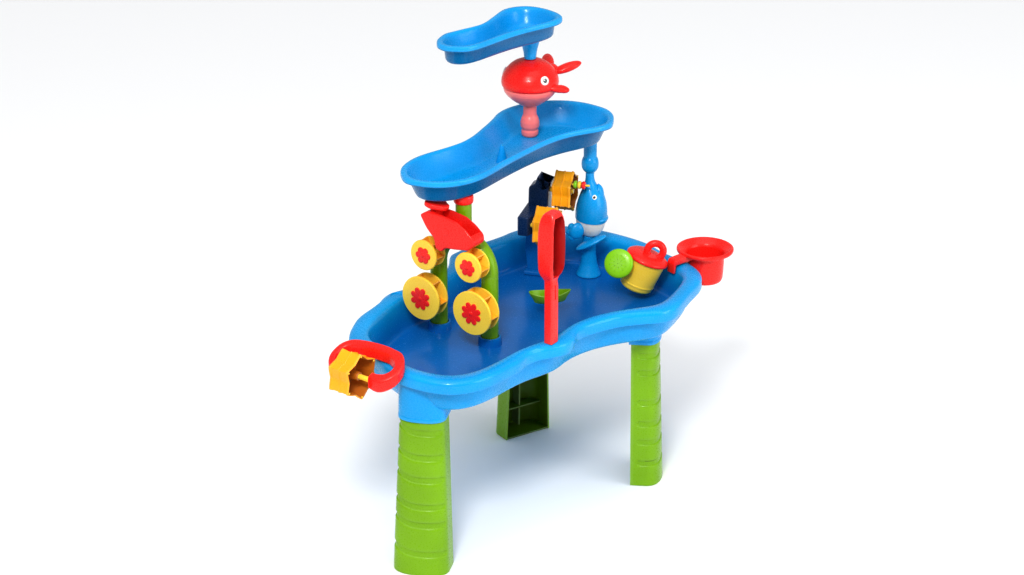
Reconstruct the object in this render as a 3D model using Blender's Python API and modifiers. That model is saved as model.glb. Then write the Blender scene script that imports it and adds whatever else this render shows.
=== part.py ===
"""Water play table: a lobed basin on three legs, two cascading trays, a wheel arch and two whale figures.

Lengths are millimetres until a mesh is made, which turns them into metres. X runs along the basin,
Y towards its back, Z up. The table frame below is moved by FRAME_SHIFT so the whole table is centred.
"""
import math

import bmesh
import bpy
from mathutils import Matrix, Vector

MM = 0.001
GAP = 0.3
FRAME_SHIFT = (24.85, 27.44)
FACETS = 18

# Basin
RIM_TOP = 368.0
RIM_WIDTH = 29.0
SKIRT_BOTTOM = 344.0
SKIRT_WALL = 3.0
BASIN_BOTTOM = 300.0
BASIN_FLOOR = 308.5
BASIN_POINTS = 76
RIM_OUTLINE = [
    (-366, -170), (-335, -236), (-275, -260), (-184, -245), (-143, -231), (-75, -243),
    (-25, -212), (45, -213), (90, -228), (150, -253), (228, -218), (293, -180),
    (318, -122), (316, -58), (323, 4), (300, 98), (255, 165), (184, 201),
    (123, 195), (60, 195), (8, 186), (-22, 155), (-60, 128), (-138, 113),
    (-185, 118), (-231, 93), (-281, 72), (-316, 47), (-353, 3), (-359, -66), (-370, -120),
]

# Legs
LEG_HEIGHT = 276.0
LEG_WALL = 3.0
LEG_FOOT = (97.0, 56.0)
LEG_TOP = (77.0, 49.0)
LEG_ARM = 27.0
TENON_TOP = 294.0
TENON = (71.0, 45.6)
COLLAR_OUTER = (81.5, 52.0)
COLLAR_INNER = (72.2, 46.6)
COLLAR_TOP = 345.0
# Each leg: middle of its open side at the foot, the way its nose points, and how far it leans in at the top
LEGS = {
    "leg_front_left": ((-323.5, -161), (-0.783, -0.622), 20.0),
    "leg_front_right": ((161.5, -148), (0.700, -0.714), 4.0),
    "leg_rear": ((115, 93), (0.116, 0.993), 6.5),
}

# Arch with the flower wheels
ARCH_CENTRE = (-117.0, -11.5)
ARCH_SIDE = (0.257, -0.966)
ARCH_OUT = (-0.966, -0.257)
ARCH_HALF = 55.0
ARCH_TUBE = 15.0
LIMB_TOP = 436.0
CROWN_Z = 440.0
POST_RADIUS = 14.0
POST_TOP = 559.5
WHEEL_REACH = 54.0
WHEEL_WIDTH = 29.0
LOWER_WHEEL = (40.0, 385.0)
UPPER_WHEEL = (27.5, 468.0)
WHEEL_PIN = 3.0

# Tipping bucket
TIPPER_REACH = 38.0
TIPPER_WIDTH = 34.0
TIPPER_PIVOT = (2.0, 524.0)

# Trays, in deck coordinates
DECK_ORIGIN = (-88.0, 24.0)
DECK_ANGLE = math.radians(13.0)
MID_RIM = 620.0
MID_BOTTOM = 575.0
MID_OUTLINE = [
    (-94, 62), (-35, 76), (73, 60), (175, 84), (247, 106), (320, 88), (366, 30), (366, -42),
    (333, -80), (292, -94), (223, -65), (162, -56), (61, -60), (-43, -69), (-104, -45),
    (-130, 5), (-122, 34),
]
TOP_RIM = 805.0
TOP_BOTTOM = 767.0
TOP_OUTLINE = [
    (47, 95), (82, 108), (116, 102), (165, 92), (208, 101), (263, 114), (300, 95), (309, 55),
    (295, 10), (267, -3), (234, 2), (192, 12), (146, 18), (82, 21), (50, 28), (30, 55), (32, 78),
]
COLUMN = (255.0, 50.0)
WHALE_TOP = 726.0
MOUTH_Z = 675.0

# Whale tower standing in the basin: t runs the way the whale faces, s to its side
TOWER = (231.0, 57.0)
FACING = (0.584, -0.812)
ASIDE = (0.812, 0.584)
STAR_RADIUS = 39.0
STAR_VALLEY = 30.0
UPPER_STAR = (-45.0, -7.0, 473.0)
LOWER_STAR = (-59.0, -84.0, 431.0)
UPPER_STAR_LENGTH = 35.0
LOWER_STAR_LENGTH = 40.0

# Outlet wheel hung on the rim
OUTLET_CENTRE = (-419.7, -94.5, 356.9)
OUTLET_AXIS = (0.225, -0.974)
OUTLET_STAR = (41.0, 32.5, 42.0)
AXLE = 4.5

BLUE = (0.004, 0.33, 0.90)
GREEN = (0.26, 0.56, 0.0)
YELLOW = (0.95, 0.62, 0.05)
ORANGE = (0.87, 0.29, 0.02)
RED = (0.90, 0.035, 0.025)
PINK = (0.70, 0.13, 0.11)
WHITE = (0.85, 0.83, 0.80)
NAVY = (0.005, 0.03, 0.10)
BLACK = (0.01, 0.01, 0.012)

for old in list(bpy.data.objects):
    bpy.data.objects.remove(old, do_unlink=True)

TABLE = bpy.data.collections.new("sand_and_water_table")
CUTTERS = bpy.data.collections.new("cutters")
bpy.context.scene.collection.children.link(TABLE)
bpy.context.scene.collection.children.link(CUTTERS)

ROOT = bpy.data.objects.new("table_frame", None)
ROOT.location = (FRAME_SHIFT[0] * MM, FRAME_SHIFT[1] * MM, 0.0)
TABLE.objects.link(ROOT)


# ---- small helpers -------------------------------------------------------------------------------

def plastic(name, colour, roughness=0.28):
    """A glossy moulded plastic of one colour."""
    made = bpy.data.materials.new(name)
    made.use_nodes = True
    shader = made.node_tree.nodes["Principled BSDF"]
    shader.inputs["Base Color"].default_value = (*colour, 1.0)
    shader.inputs["Roughness"].default_value = roughness
    made.diffuse_color = (*colour, 1.0)
    return made


def place(obj, colour, matrix):
    """Parents an object to the table and files it as a part, or as a cutter when it has no colour."""
    obj.parent = ROOT
    obj.matrix_basis = matrix
    if colour is None:
        obj.hide_render = True
        obj.display_type = "WIRE"
        CUTTERS.objects.link(obj)
    else:
        obj.data.materials.append(plastic(obj.name + "_plastic", colour))
        TABLE.objects.link(obj)
    return obj


def frame(origin, z_dir=(0, 0, 1), x_dir=(1, 0, 0)):
    """The matrix of a local frame whose Z points along z_dir."""
    z = Vector(z_dir).normalized()
    x = Vector(x_dir)
    x = (x - z * x.dot(z)).normalized()
    y = z.cross(x)
    turn = Matrix((x, y, z)).transposed().to_4x4()
    return Matrix.Translation(Vector(origin) * MM) @ turn


def solid(name, points, faces, colour=None, matrix=None):
    """A closed mesh object from points in millimetres."""
    mesh = bpy.data.meshes.new(name)
    mesh.from_pydata([Vector(p) * MM for p in points], [], faces)
    work = bmesh.new()
    work.from_mesh(mesh)
    bmesh.ops.remove_doubles(work, verts=work.verts, dist=1e-6)
    bmesh.ops.recalc_face_normals(work, faces=work.faces)
    work.to_mesh(mesh)
    work.free()
    for face in mesh.polygons:
        face.use_smooth = True
    mesh.set_sharp_from_angle(angle=math.radians(35))
    obj = bpy.data.objects.new(name, mesh)
    return place(obj, colour, matrix or Matrix.Identity(4))


def loft(rings, closed=False):
    """Points and faces of a skin over rings of equal count; the ends are capped unless it closes on itself."""
    count = len(rings[0])
    points = [p for ring in rings for p in ring]
    faces = []
    strips = len(rings) if closed else len(rings) - 1
    for level in range(strips):
        low = level * count
        high = ((level + 1) % len(rings)) * count
        for i in range(count):
            j = (i + 1) % count
            faces.append((low + i, low + j, high + j, high + i))
    if not closed:
        faces.append(tuple(reversed(range(count))))
        faces.append(tuple(range(len(points) - count, len(points))))
    return points, faces


def at_height(outline, z):
    return [(x, y, z) for x, y in outline]


def prism(name, outline, low, high, colour=None, matrix=None):
    return solid(name, *loft([at_height(outline, low), at_height(outline, high)]), colour, matrix)


def lathe(name, profile, colour=None, matrix=None, steps=FACETS):
    """Revolves (radius, height) points, from the top down the outer side, round local Z."""
    mesh = bpy.data.meshes.new(name)
    points = [(r * MM, 0.0, z * MM) for r, z in profile]
    edges = [(i, i + 1) for i in range(len(points) - 1)]
    if profile[0][0] > 0:
        edges.append((len(points) - 1, 0))
    mesh.from_pydata(points, edges, [])
    obj = bpy.data.objects.new(name, mesh)
    screw = obj.modifiers.new("Screw", "SCREW")
    screw.steps = steps
    screw.render_steps = steps
    screw.use_merge_vertices = True
    screw.merge_threshold = 0.00005
    screw.use_smooth_shade = True
    screw.use_normal_calculate = False
    return place(obj, colour, matrix or Matrix.Identity(4))


def rod(name, radius, low, high, colour=None, matrix=None, steps=FACETS):
    return lathe(name, [(0, high), (radius, high), (radius, low), (0, low)], colour, matrix, steps)


def join(obj, other, operation):
    """A live exact Boolean between an object and a helper."""
    made = obj.modifiers.new(other.name, "BOOLEAN")
    made.operation = operation
    made.solver = "EXACT"
    made.object = other
    return obj


def cut(obj, *others):
    for other in others:
        join(obj, other, "DIFFERENCE")
    return obj


def add(obj, *others):
    for other in others:
        join(obj, other, "UNION")
    return obj


def smooth_loop(points, count):
    """A closed Catmull-Rom curve through the points, with its points evenly spaced."""
    fine = []
    total = len(points)
    for i in range(total):
        p0, p1, p2, p3 = (Vector(points[(i + k) % total]) for k in (-1, 0, 1, 2))
        for step in range(24):
            t = step / 24
            a = 2 * p1
            b = (p2 - p0) * t
            c = (2 * p0 - 5 * p1 + 4 * p2 - p3) * t * t
            d = (3 * p1 - 3 * p2 + p3 - p0) * t ** 3
            fine.append((a + b + c + d) / 2)
    return even(fine, count)


def even(loop, count):
    lengths = [0.0]
    for i in range(len(loop)):
        lengths.append(lengths[-1] + (loop[(i + 1) % len(loop)] - loop[i]).length)
    made = []
    at = 0
    for k in range(count):
        want = lengths[-1] * k / count
        while lengths[at + 1] < want:
            at += 1
        share = (want - lengths[at]) / (lengths[at + 1] - lengths[at])
        made.append(loop[at].lerp(loop[(at + 1) % len(loop)], share))
    return made


def inset(loop, distance, step=1.5):
    """Moves a counter-clockwise loop inwards in short steps, easing it so that it never folds."""
    points = [Vector(p) for p in loop]
    count = len(points)
    moves = max(1, round(abs(distance) / step))
    for _ in range(moves):
        moved = []
        for i in range(count):
            before = points[i - 1]
            after = points[(i + 1) % count]
            along = (after - before).normalized()
            eased = points[i] * 0.9 + (before + after) * 0.05 if abs(distance) > 4 else points[i]
            moved.append(eased + Vector((-along.y, along.x)) * distance / moves)
        points = moved
    return points


def on_line(angle_degrees, radius):
    a = math.radians(angle_degrees)
    return (radius * math.cos(a), radius * math.sin(a))


# ---- basin ---------------------------------------------------------------------------------------

RIM = smooth_loop(RIM_OUTLINE, BASIN_POINTS)
if sum(a.cross(b) for a, b in zip(RIM, RIM[1:] + RIM[:1])) < 0:
    RIM.reverse()


def basin_shell():
    rings = []
    for amount, z in (
        (30, BASIN_BOTTOM), (24, BASIN_BOTTOM + 7), (17.5, SKIRT_BOTTOM), (18.5, RIM_TOP - 5), (SKIRT_WALL, RIM_TOP - 5),
        (SKIRT_WALL, SKIRT_BOTTOM), (0, SKIRT_BOTTOM), (0, RIM_TOP - 6), (2.5, RIM_TOP - 1.5),
        (7, RIM_TOP),
    ):
        rings.append(at_height(inset(RIM, amount), z))
    return solid("basin", *loft(rings), BLUE)


def basin_hollow():
    rings = []
    for amount, z in (
        (44, BASIN_FLOOR), (37, BASIN_FLOOR + 5), (RIM_WIDTH + 2, RIM_TOP - 6),
        (RIM_WIDTH - 3, RIM_TOP), (RIM_WIDTH - 3, RIM_TOP + 12),
    ):
        rings.append(at_height(inset(RIM, amount), z))
    return solid("cut_basin_hollow", *loft(rings))


def leg_section(size, start, count=9):
    """The D outline of a leg: straight arms from the open side, then a round nose, as (across, out)."""
    width, depth = size
    half = width / 2
    arm = LEG_ARM
    points = [(-half, start)]
    for i in range(count):
        a = math.pi * (1 - i / (count - 1))
        c = math.cos(a)
        s = math.sin(a)
        across = half * math.copysign(abs(c) ** 0.85, c)
        points.append((across, arm + (depth - arm) * abs(s) ** 0.85))
    points.append((half, start))
    return points


def leg_spot(name, across, out, lean):
    centre, nose = LEGS[name][:2]
    n = Vector(nose).normalized()
    side = Vector((-n.y, n.x))
    return Vector(centre) - n * lean + side * -across + n * out


def leg_column(label, name, size, start, low, high):
    outline = [leg_spot(name, a, o, LEGS[name][2]) for a, o in leg_section(size, start)]
    return prism(label, outline, low, high)


def leg(name):
    full_lean = LEGS[name][2]
    rings = []
    for z in (0.0, LEG_HEIGHT - 6):
        share = z / LEG_HEIGHT
        width = LEG_FOOT[0] + (LEG_TOP[0] - LEG_FOOT[0]) * share
        depth = LEG_FOOT[1] + (LEG_TOP[1] - LEG_FOOT[1]) * share
        lean = full_lean * share
        outer = leg_section((width, depth), 0)
        inner = leg_section((width - 2 * LEG_WALL, depth - LEG_WALL), 0)
        ring = []
        for a, o in outer:
            spot = leg_spot(name, a, o, lean)
            ring.append((spot.x, spot.y, z))
        for a, o in reversed(inner):
            spot = leg_spot(name, a, o, lean)
            ring.append((spot.x, spot.y, z))
        rings.append(ring)
    for outer_z, outer_size, inner_z in (
        (LEG_HEIGHT, LEG_TOP, LEG_HEIGHT - 2),
        (LEG_HEIGHT, TENON, LEG_HEIGHT + 3),
        (TENON_TOP, TENON, TENON_TOP),
    ):
        outer = leg_section(outer_size, 0.3)
        inner = leg_section((TENON[0] - 2 * LEG_WALL, TENON[1] - LEG_WALL), 0.3)
        ring = []
        for a, o in outer:
            spot = leg_spot(name, a, o, full_lean)
            ring.append((spot.x, spot.y, outer_z))
        for a, o in reversed(inner):
            spot = leg_spot(name, a, o, full_lean)
            ring.append((spot.x, spot.y, inner_z))
        rings.append(ring)
    made = solid(name, *loft(rings), GREEN)
    spine = []
    for z, lean, reach in ((8, 0.03 * full_lean, 54.0), (262, 0.95 * full_lean, 47.5)):
        spots = [leg_spot(name, a, o, lean) for a, o in ((-1.5, 30), (-1.5, reach), (1.5, reach), (1.5, 30))]
        spine.append(at_height(spots, z))
    add(made, solid("rib_spine_" + name, *loft(spine)))
    for label, z, start in (("foot", 1.7, 1.0), ("shelf", 48.0, 26.0)):
        share = z / LEG_HEIGHT
        width = LEG_FOOT[0] + (LEG_TOP[0] - LEG_FOOT[0]) * share - 2 * LEG_WALL + 2
        depth = LEG_FOOT[1] + (LEG_TOP[1] - LEG_FOOT[1]) * share - LEG_WALL + 1
        shelf = [leg_spot(name, a, o, full_lean * share) for a, o in leg_section((width, depth), start)]
        add(made, prism(f"rib_{label}_" + name, shelf, z - 1.5, z + 1.5))
    return made


BASIN = basin_shell()
for leg_name in LEGS:
    add(BASIN, leg_column("collar_" + leg_name, leg_name, COLLAR_OUTER, -4.0, LEG_HEIGHT + GAP, COLLAR_TOP))
cut(BASIN, basin_hollow())
for leg_name in LEGS:
    cut(BASIN, leg_column("mortise_" + leg_name, leg_name, COLLAR_INNER, 0.0, LEG_HEIGHT - 6, 297.0))
for leg_name in LEGS:
    leg(leg_name)


def arch_point(side, out=0.0):
    """Plan position at a distance along the arch and out in front of it."""
    x = ARCH_CENTRE[0] + ARCH_SIDE[0] * side + ARCH_OUT[0] * out
    y = ARCH_CENTRE[1] + ARCH_SIDE[1] * side + ARCH_OUT[1] * out
    return (x, y)


SOCKET_DEPTH = 12.0
for label, side in (("right", ARCH_HALF), ("left", -ARCH_HALF)):
    spot = (*arch_point(side), 0)
    boss = rod("boss_arch_" + label, 19.5, BASIN_FLOOR - 3, 324, None, frame(spot))
    add(BASIN, boss)
    cut(BASIN, rod("socket_arch_" + label, ARCH_TUBE + 0.4, 311, 330, None, frame(spot)))

# The shovel stands in a slot in the front rim, and a round socket waits in the rear rim.
SHOVEL_SPOT = (-101.0, -226.0)
SHOVEL_X = (0.267, -0.964, 0.0)
slot_outline = [(-6.4, -6.4), (6.4, -6.4), (6.4, 6.4), (-6.4, 6.4)]
SLOT_HERE = frame((*SHOVEL_SPOT, 0), (0, 0, 1), SHOVEL_X)
boss_outline = [(-10, -10), (10, -10), (10, 10), (-10, 10)]
add(BASIN, prism("boss_shovel", boss_outline, 346, 365, None, SLOT_HERE))
cut(BASIN, prism("slot_shovel", slot_outline, 352, 380, None, SLOT_HERE))
cut(BASIN, rod("socket_spare", 10.5, 365.3, 380, None, frame((-181, 99, 0))))

# Drain under the front left lobe, closed by a plug
DRAIN = (-190.0, -150.0)
cut(BASIN, rod("drain_bore", 9.0, 290, 320, None, frame((*DRAIN, 0))))
cut(BASIN, rod("drain_seat", 13.5, 290, 303, None, frame((*DRAIN, 0))))
lathe("drain_plug", [
    (0, 307.5), (7.5, 307.5), (8.6, 304), (8.6, 302.7), (13, 302.7), (13, 298.5), (5, 298.5),
    (5, 291), (0, 291),
], BLUE, frame((*DRAIN, 0)), 12)


# ---- arch and flower wheels ----------------------------------------------------------------------

def tube(name, path, radius, colour=None, matrix=None, sides=3):
    """A round tube along a path, turned into a mesh so that it can be cut."""
    curve = bpy.data.curves.new(name + "_path", "CURVE")
    curve.dimensions = "3D"
    curve.bevel_depth = radius * MM
    curve.bevel_resolution = sides
    curve.use_fill_caps = True
    spline = curve.splines.new("POLY")
    spline.points.add(len(path) - 1)
    for point, spot in zip(spline.points, path):
        point.co = (*(Vector(spot) * MM), 1.0)
    guide = bpy.data.objects.new(name + "_path", curve)
    bpy.context.scene.collection.objects.link(guide)
    bpy.context.view_layer.update()
    shape = guide.evaluated_get(bpy.context.evaluated_depsgraph_get())
    mesh = bpy.data.meshes.new_from_object(shape)
    bpy.data.objects.remove(guide, do_unlink=True)
    points = [v.co / MM for v in mesh.vertices]
    faces = [tuple(f.vertices) for f in mesh.polygons]
    return solid(name, points, faces, colour, matrix)


def crown_path():
    path = [(*arch_point(ARCH_HALF), LIMB_TOP + GAP)]
    for i in range(11):
        a = math.pi * i / 10
        path.append((*arch_point(ARCH_HALF * math.cos(a)), CROWN_Z + ARCH_HALF * math.sin(a)))
    path.append((*arch_point(-ARCH_HALF), LIMB_TOP + GAP))
    return path


LIMBS = {}
for label, side in (("right", ARCH_HALF), ("left", -ARCH_HALF)):
    LIMBS[label] = rod("arch_limb_" + label, ARCH_TUBE, 311.3, LIMB_TOP, GREEN, frame((*arch_point(side), 0)))
CROWN = tube("arch_crown", crown_path(), ARCH_TUBE, GREEN)
post = lathe("arch_post_body", [
    (0, 573.5), (9, 573.5), (9, POST_TOP), (POST_RADIUS, POST_TOP), (POST_RADIUS, 492), (0, 492),
], None, frame((*ARCH_CENTRE, 0)))
add(CROWN, post)
lathe("post_collar", [
    (16, MID_BOTTOM - GAP), (17, MID_BOTTOM - 4), (17, POST_TOP + 2), (16, POST_TOP + GAP),
    (9.4, POST_TOP + GAP), (9.4, MID_BOTTOM - GAP),
], RED, frame((*ARCH_CENTRE, 0)))

OUT3 = (*ARCH_OUT, 0.0)


def flower_outline(radius, count=24):
    """A six-petal outline."""
    points = []
    for i in range(count):
        a = 360 * i / count
        r = radius * (0.84 + 0.16 * math.cos(math.radians(6 * a)))
        points.append(on_line(a, r))
    return points


def paddle_outline(radius, hub, half, blades=6):
    """One closed outline of radial paddles round a hub."""
    points = []
    for i in range(blades):
        middle = 360 * i / blades
        lean = math.degrees(math.asin(half / radius))
        base = math.degrees(math.asin(half / hub))
        points.append(on_line(middle - base, hub))
        points.append(on_line(middle - lean, radius))
        points.append(on_line(middle + lean, radius))
        points.append(on_line(middle + base, hub))
    return points


def flower_wheel(name, side, size):
    """A spool of two discs with paddles between them, turning on a pin from the arch."""
    radius, z = size
    spot = (*arch_point(side, WHEEL_REACH), z)
    here = frame(spot, OUT3, (0, 0, 1))
    hub = radius * 0.3
    wheel = lathe(name, [
        (0, 0), (radius - 1.5, 0), (radius, -1.5), (radius, -4.5), (hub, -4.5),
        (hub, -WHEEL_WIDTH + 3), (radius * 0.97, -WHEEL_WIDTH + 3), (radius * 0.97, -WHEEL_WIDTH), (0, -WHEEL_WIDTH),
    ], YELLOW, here, 18)
    add(wheel, prism("paddles_" + name, paddle_outline(radius * 0.95, hub * 0.8, 1.2), -WHEEL_WIDTH + 1.5, -2.5, None, here))
    cut(wheel, rod("bore_" + name, WHEEL_PIN + 0.4, -WHEEL_WIDTH - 5, -5.5, None, here, 12))
    badge_radius = radius * (0.5 if radius > 30 else 0.58)
    prism(name.replace("wheel", "flower"), flower_outline(badge_radius), GAP / 2, 1.8, RED, here)
    pin = rod(name.replace("wheel", "pin"), WHEEL_PIN, -WHEEL_REACH + 4, -6.3, GREEN, here, 12)
    pocket = rod("pocket_" + name, WHEEL_PIN + GAP, -WHEEL_REACH + 3.6, -WHEEL_REACH + 25, None, here, 12)
    return wheel, pin, pocket


def crown_side(z):
    return math.sqrt(ARCH_HALF ** 2 - (z - CROWN_Z) ** 2)


for label, sign in (("right", 1), ("left", -1)):
    made = flower_wheel("lower_wheel_" + label, sign * ARCH_HALF, LOWER_WHEEL)
    cut(LIMBS[label], made[2])
    made = flower_wheel("upper_wheel_" + label, sign * crown_side(UPPER_WHEEL[1]), UPPER_WHEEL)
    cut(CROWN, made[2])


# ---- tipping bucket ------------------------------------------------------------------------------

TIP_P, TIP_Z = TIPPER_PIVOT
TIP_HERE = frame((*arch_point(TIP_P, TIPPER_REACH), TIP_Z), OUT3, (*ARCH_SIDE, 0))
# In this frame X runs along the arch, Y up or down with the frame, Z out from the arch.
TIP_UP = (TIP_HERE.to_3x3() @ Vector((0, 1, 0))).z


def tip(points):
    """Side-view points (along the arch, height) in the bucket's own frame."""
    return [(p - TIP_P, (z - TIP_Z) * TIP_UP) for p, z in points]


BODY = [
    (-38, 552), (-6, 551), (24, 546), (44, 535), (59, 522), (60, 510), (50, 500), (20, 495),
    (0, 493), (-8, 484), (-20, 487), (-24, 506), (-40, 522), (-53, 543),
]
POCKET = [
    (-26, 575), (-25, 538), (-17, 512), (-4, 500), (22, 499), (46, 504), (54, 514), (52, 575),
]
half_tip = TIPPER_WIDTH / 2
TIPPER = prism("tipper_bucket", tip(BODY), -half_tip, half_tip, RED, TIP_HERE)
soften = TIPPER.modifiers.new("Bevel", "BEVEL")
soften.width = 4.0 * MM
soften.segments = 2
soften.limit_method = "ANGLE"
soften.angle_limit = math.radians(60)
cut(TIPPER, prism("pocket_tipper", tip(POCKET), -half_tip + 3, half_tip - 3, None, TIP_HERE))
flukes = [(-47, -6), (-42, -16), (-28, -18), (-14, -10), (-6, -7), (-6, 7), (-14, 12), (-28, 22), (-42, 20), (-47, 8)]
FLUKE_HERE = frame((*arch_point(0, TIPPER_REACH), 558), (0.22 * ARCH_SIDE[0], 0.22 * ARCH_SIDE[1], 1), (*ARCH_SIDE, 0))
add(TIPPER, prism("flukes_tipper", [(x, -y) for x, y in flukes], -4.5, 4.5, None, FLUKE_HERE))
tail_stem = [(-41.3, 540.7), (-37.2, 558.9), (-24.4, 559.3), (-30.1, 541.2)]
add(TIPPER, prism("stem_tipper", tip(tail_stem), -5.3, 5.3, None, TIP_HERE))
hub_block = rod("hub_tipper", 9, -half_tip + 1, half_tip - 1, None, TIP_HERE, 12)
add(TIPPER, hub_block)
cut(TIPPER, rod("bore_tipper", WHEEL_PIN + 0.4, -half_tip - 5, half_tip - 4, None, TIP_HERE, 12))
rod("tipper_pin", WHEEL_PIN, -TIPPER_REACH + 5, half_tip - 5, GREEN, TIP_HERE, 12)
cut(CROWN, rod("pocket_tipper_pin", WHEEL_PIN + GAP, -TIPPER_REACH + 4.6, -10, None, TIP_HERE, 12))


# ---- trays ---------------------------------------------------------------------------------------

def deck(x, y):
    """Plan position of a point given along and across the trays."""
    c = math.cos(DECK_ANGLE)
    s = math.sin(DECK_ANGLE)
    return (DECK_ORIGIN[0] + x * c - y * s, DECK_ORIGIN[1] + x * s + y * c)


def tray(name, outline, rim, bottom, count, bottom_inset):
    loop = smooth_loop([deck(x, y) for x, y in outline], count)
    if sum(a.cross(b) for a, b in zip(loop, loop[1:] + loop[:1])) < 0:
        loop.reverse()
    rings = []
    floor = bottom + 5
    for amount, z in (
        (bottom_inset, bottom), (bottom_inset - 5, bottom + 4), (9, rim - 10), (1, rim - 10),
        (0, rim - 3), (3, rim), (8, rim), (11, rim - 4), (bottom_inset, floor + 4), (bottom_inset + 5, floor),
    ):
        rings.append(at_height(inset(loop, amount), z))
    return solid(name, *loft(rings), BLUE)


MID = tray("mid_tray", MID_OUTLINE, MID_RIM, MID_BOTTOM, 44, 25)
cut(MID, rod("spigot_mid_tray", 9.4, 570, 574.5, None, frame((*ARCH_CENTRE, 0))))
cone_spot = (*deck(118, 8), 0)
add(MID, lathe("cone_mid_tray", [(0, 612), (3, 611), (11, 578), (0, 578)], None, frame(cone_spot), 6))
for i in range(5):
    spot = (*deck(200 + 14 * math.cos(i * 1.2566), -10 + 14 * math.sin(i * 1.2566)), 0)
    cut(MID, rod(f"drip_{i}", 2.5, 570, 590, None, frame(spot), 6))
NECK_SPOT = (*TOWER, 0)
neck_pipe = lathe("pipe_mid_tray", [
    (0, 578), (12, 578), (12, 541), (14, 537), (15.5, 531), (15.5, 523), (13, 516), (9, 511.5), (0, 511.5),
], None, frame(NECK_SPOT))
add(MID, neck_pipe)
cut(MID, rod("pipe_bore", 7, 505, 600, None, frame(NECK_SPOT), 16))

HIGH = tray("top_tray", TOP_OUTLINE, TOP_RIM, TOP_BOTTOM, 34, 18)
COLUMN_SPOT = (*deck(*COLUMN), 0)
add(HIGH, lathe("neck_top_tray", [
    (0, TOP_BOTTOM + 3), (18, TOP_BOTTOM + 3), (18, TOP_BOTTOM - 2), (10.5, WHALE_TOP + 0.5), (0, WHALE_TOP + 0.5),
], None, frame(COLUMN_SPOT)))
cut(HIGH, lathe("bore_top_tray", [
    (0, 790), (14, 790), (14, TOP_BOTTOM + 5), (7, WHALE_TOP - 1), (0, WHALE_TOP - 1),
], None, frame(COLUMN_SPOT)))


# ---- red whale on the column ---------------------------------------------------------------------

DECK_X = (math.cos(DECK_ANGLE), math.sin(DECK_ANGLE), 0.0)
RED_HERE = frame(COLUMN_SPOT, (0, 0, 1), (-DECK_X[0], -DECK_X[1], 0))
# In this frame X points the way the whale looks.
lathe("column_stem", [
    (12, 640 - GAP), (12, 622), (16, 612), (17, 600), (16, 588), (14, 580 + GAP),
    (8, 580 + GAP), (8, 640 - GAP),
], PINK, RED_HERE)
lathe("red_whale_jaw", [
    (0, MOUTH_Z), (48, MOUTH_Z), (47, 669), (42, 660), (32, 650), (19, 640), (0, 640),
], PINK, RED_HERE)
RED_WHALE = lathe("red_whale_body", [
    (0, WHALE_TOP), (12, 725.5), (28, 720.5), (40, 711.5), (47.5, 701), (51.3, 691), (52, 684), (51, 678),
    (49, MOUTH_Z + GAP), (0, MOUTH_Z + GAP),
], RED, RED_HERE)


def blob(name, centre, radii, matrix, colour=None, turn=0.0, tilt=0.0, rings=6, sides=12):
    """An ellipsoid in a local frame, turned about Z and tilted about Y, in degrees."""
    points = [(0, 0, radii[2])]
    for i in range(1, rings):
        a = math.pi * i / rings
        for j in range(sides):
            b = 2 * math.pi * j / sides
            points.append((
                radii[0] * math.sin(a) * math.cos(b),
                radii[1] * math.sin(a) * math.sin(b),
                radii[2] * math.cos(a),
            ))
    points.append((0, 0, -radii[2]))
    faces = []
    last = len(points) - 1
    for j in range(sides):
        k = (j + 1) % sides
        faces.append((0, 1 + j, 1 + k))
        for i in range(rings - 2):
            low = 1 + i * sides
            faces.append((low + j, low + sides + j, low + sides + k, low + k))
        base = 1 + (rings - 2) * sides
        faces.append((last, base + k, base + j))
    spin = Matrix.Rotation(math.radians(turn), 4, "Z") @ Matrix.Rotation(math.radians(tilt), 4, "Y")
    here = matrix @ Matrix.Translation(Vector(centre) * MM) @ spin
    return solid(name, points, faces, colour, here)


add(RED_WHALE, blob("tail_red_whale", (-52, 0, 684), (26, 13, 14), RED_HERE, None, 0, 12))
for label, side in (("near", 1), ("far", -1)):
    add(RED_WHALE, blob("fluke_" + label, (-82, side * 22, 692), (27, 11, 7.5), RED_HERE, None, -38 * side, 16))
    add(RED_WHALE, blob("flipper_" + label, (-8, side * 55, 678), (22, 11, 7.5), RED_HERE, None, -50 * side, -12))
cut(RED_WHALE, rod("flat_red_whale", 49.6, 640, MOUTH_Z + GAP, None, RED_HERE))


def eye(name, whale, spot, outward, radius, matrix):
    """A white disc with a dark pupil, let into the side of a head."""
    origin = matrix @ (Vector(spot) * MM)
    facing = matrix.to_3x3() @ Vector(outward)
    here = frame(origin / MM, facing, (0, 0, 1))
    cut(whale, rod("seat_" + name, radius + GAP, -5, 12, None, here, 12))
    lathe(name + "_white", [
        (radius * 0.55, 0.5), (radius, 0), (radius, -4.7), (radius * 0.55, -4.7),
    ], WHITE, here, 12)
    lathe(name + "_pupil", [
        (0, 1.0), (radius * 0.48, 0.4), (radius * 0.48, -4.7), (0, -4.7),
    ], BLACK, here, 12)


def on_dome(angle, radius):
    a = math.radians(angle)
    return (radius * math.cos(a), radius * math.sin(a))


for label, sign in (("near", 1), ("far", -1)):
    x, y = on_dome(sign * 70, 48.3)
    eye("red_eye_" + label, RED_WHALE, (x, y, 698), (x, y, 15), 8.0, RED_HERE)


# ---- whale tower ---------------------------------------------------------------------------------

TOWER_HERE = frame(NECK_SPOT, (0, 0, 1), (*FACING, 0))
# X points the way the whale faces, Y to its left; s below is measured to its right, so Y is -s or s.
S_SIGN = 1.0 if (TOWER_HERE.to_3x3() @ Vector((0, 1, 0))).dot(Vector((*ASIDE, 0))) > 0 else -1.0


def tower(t, s, z):
    return (t, s * S_SIGN, z)


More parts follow.
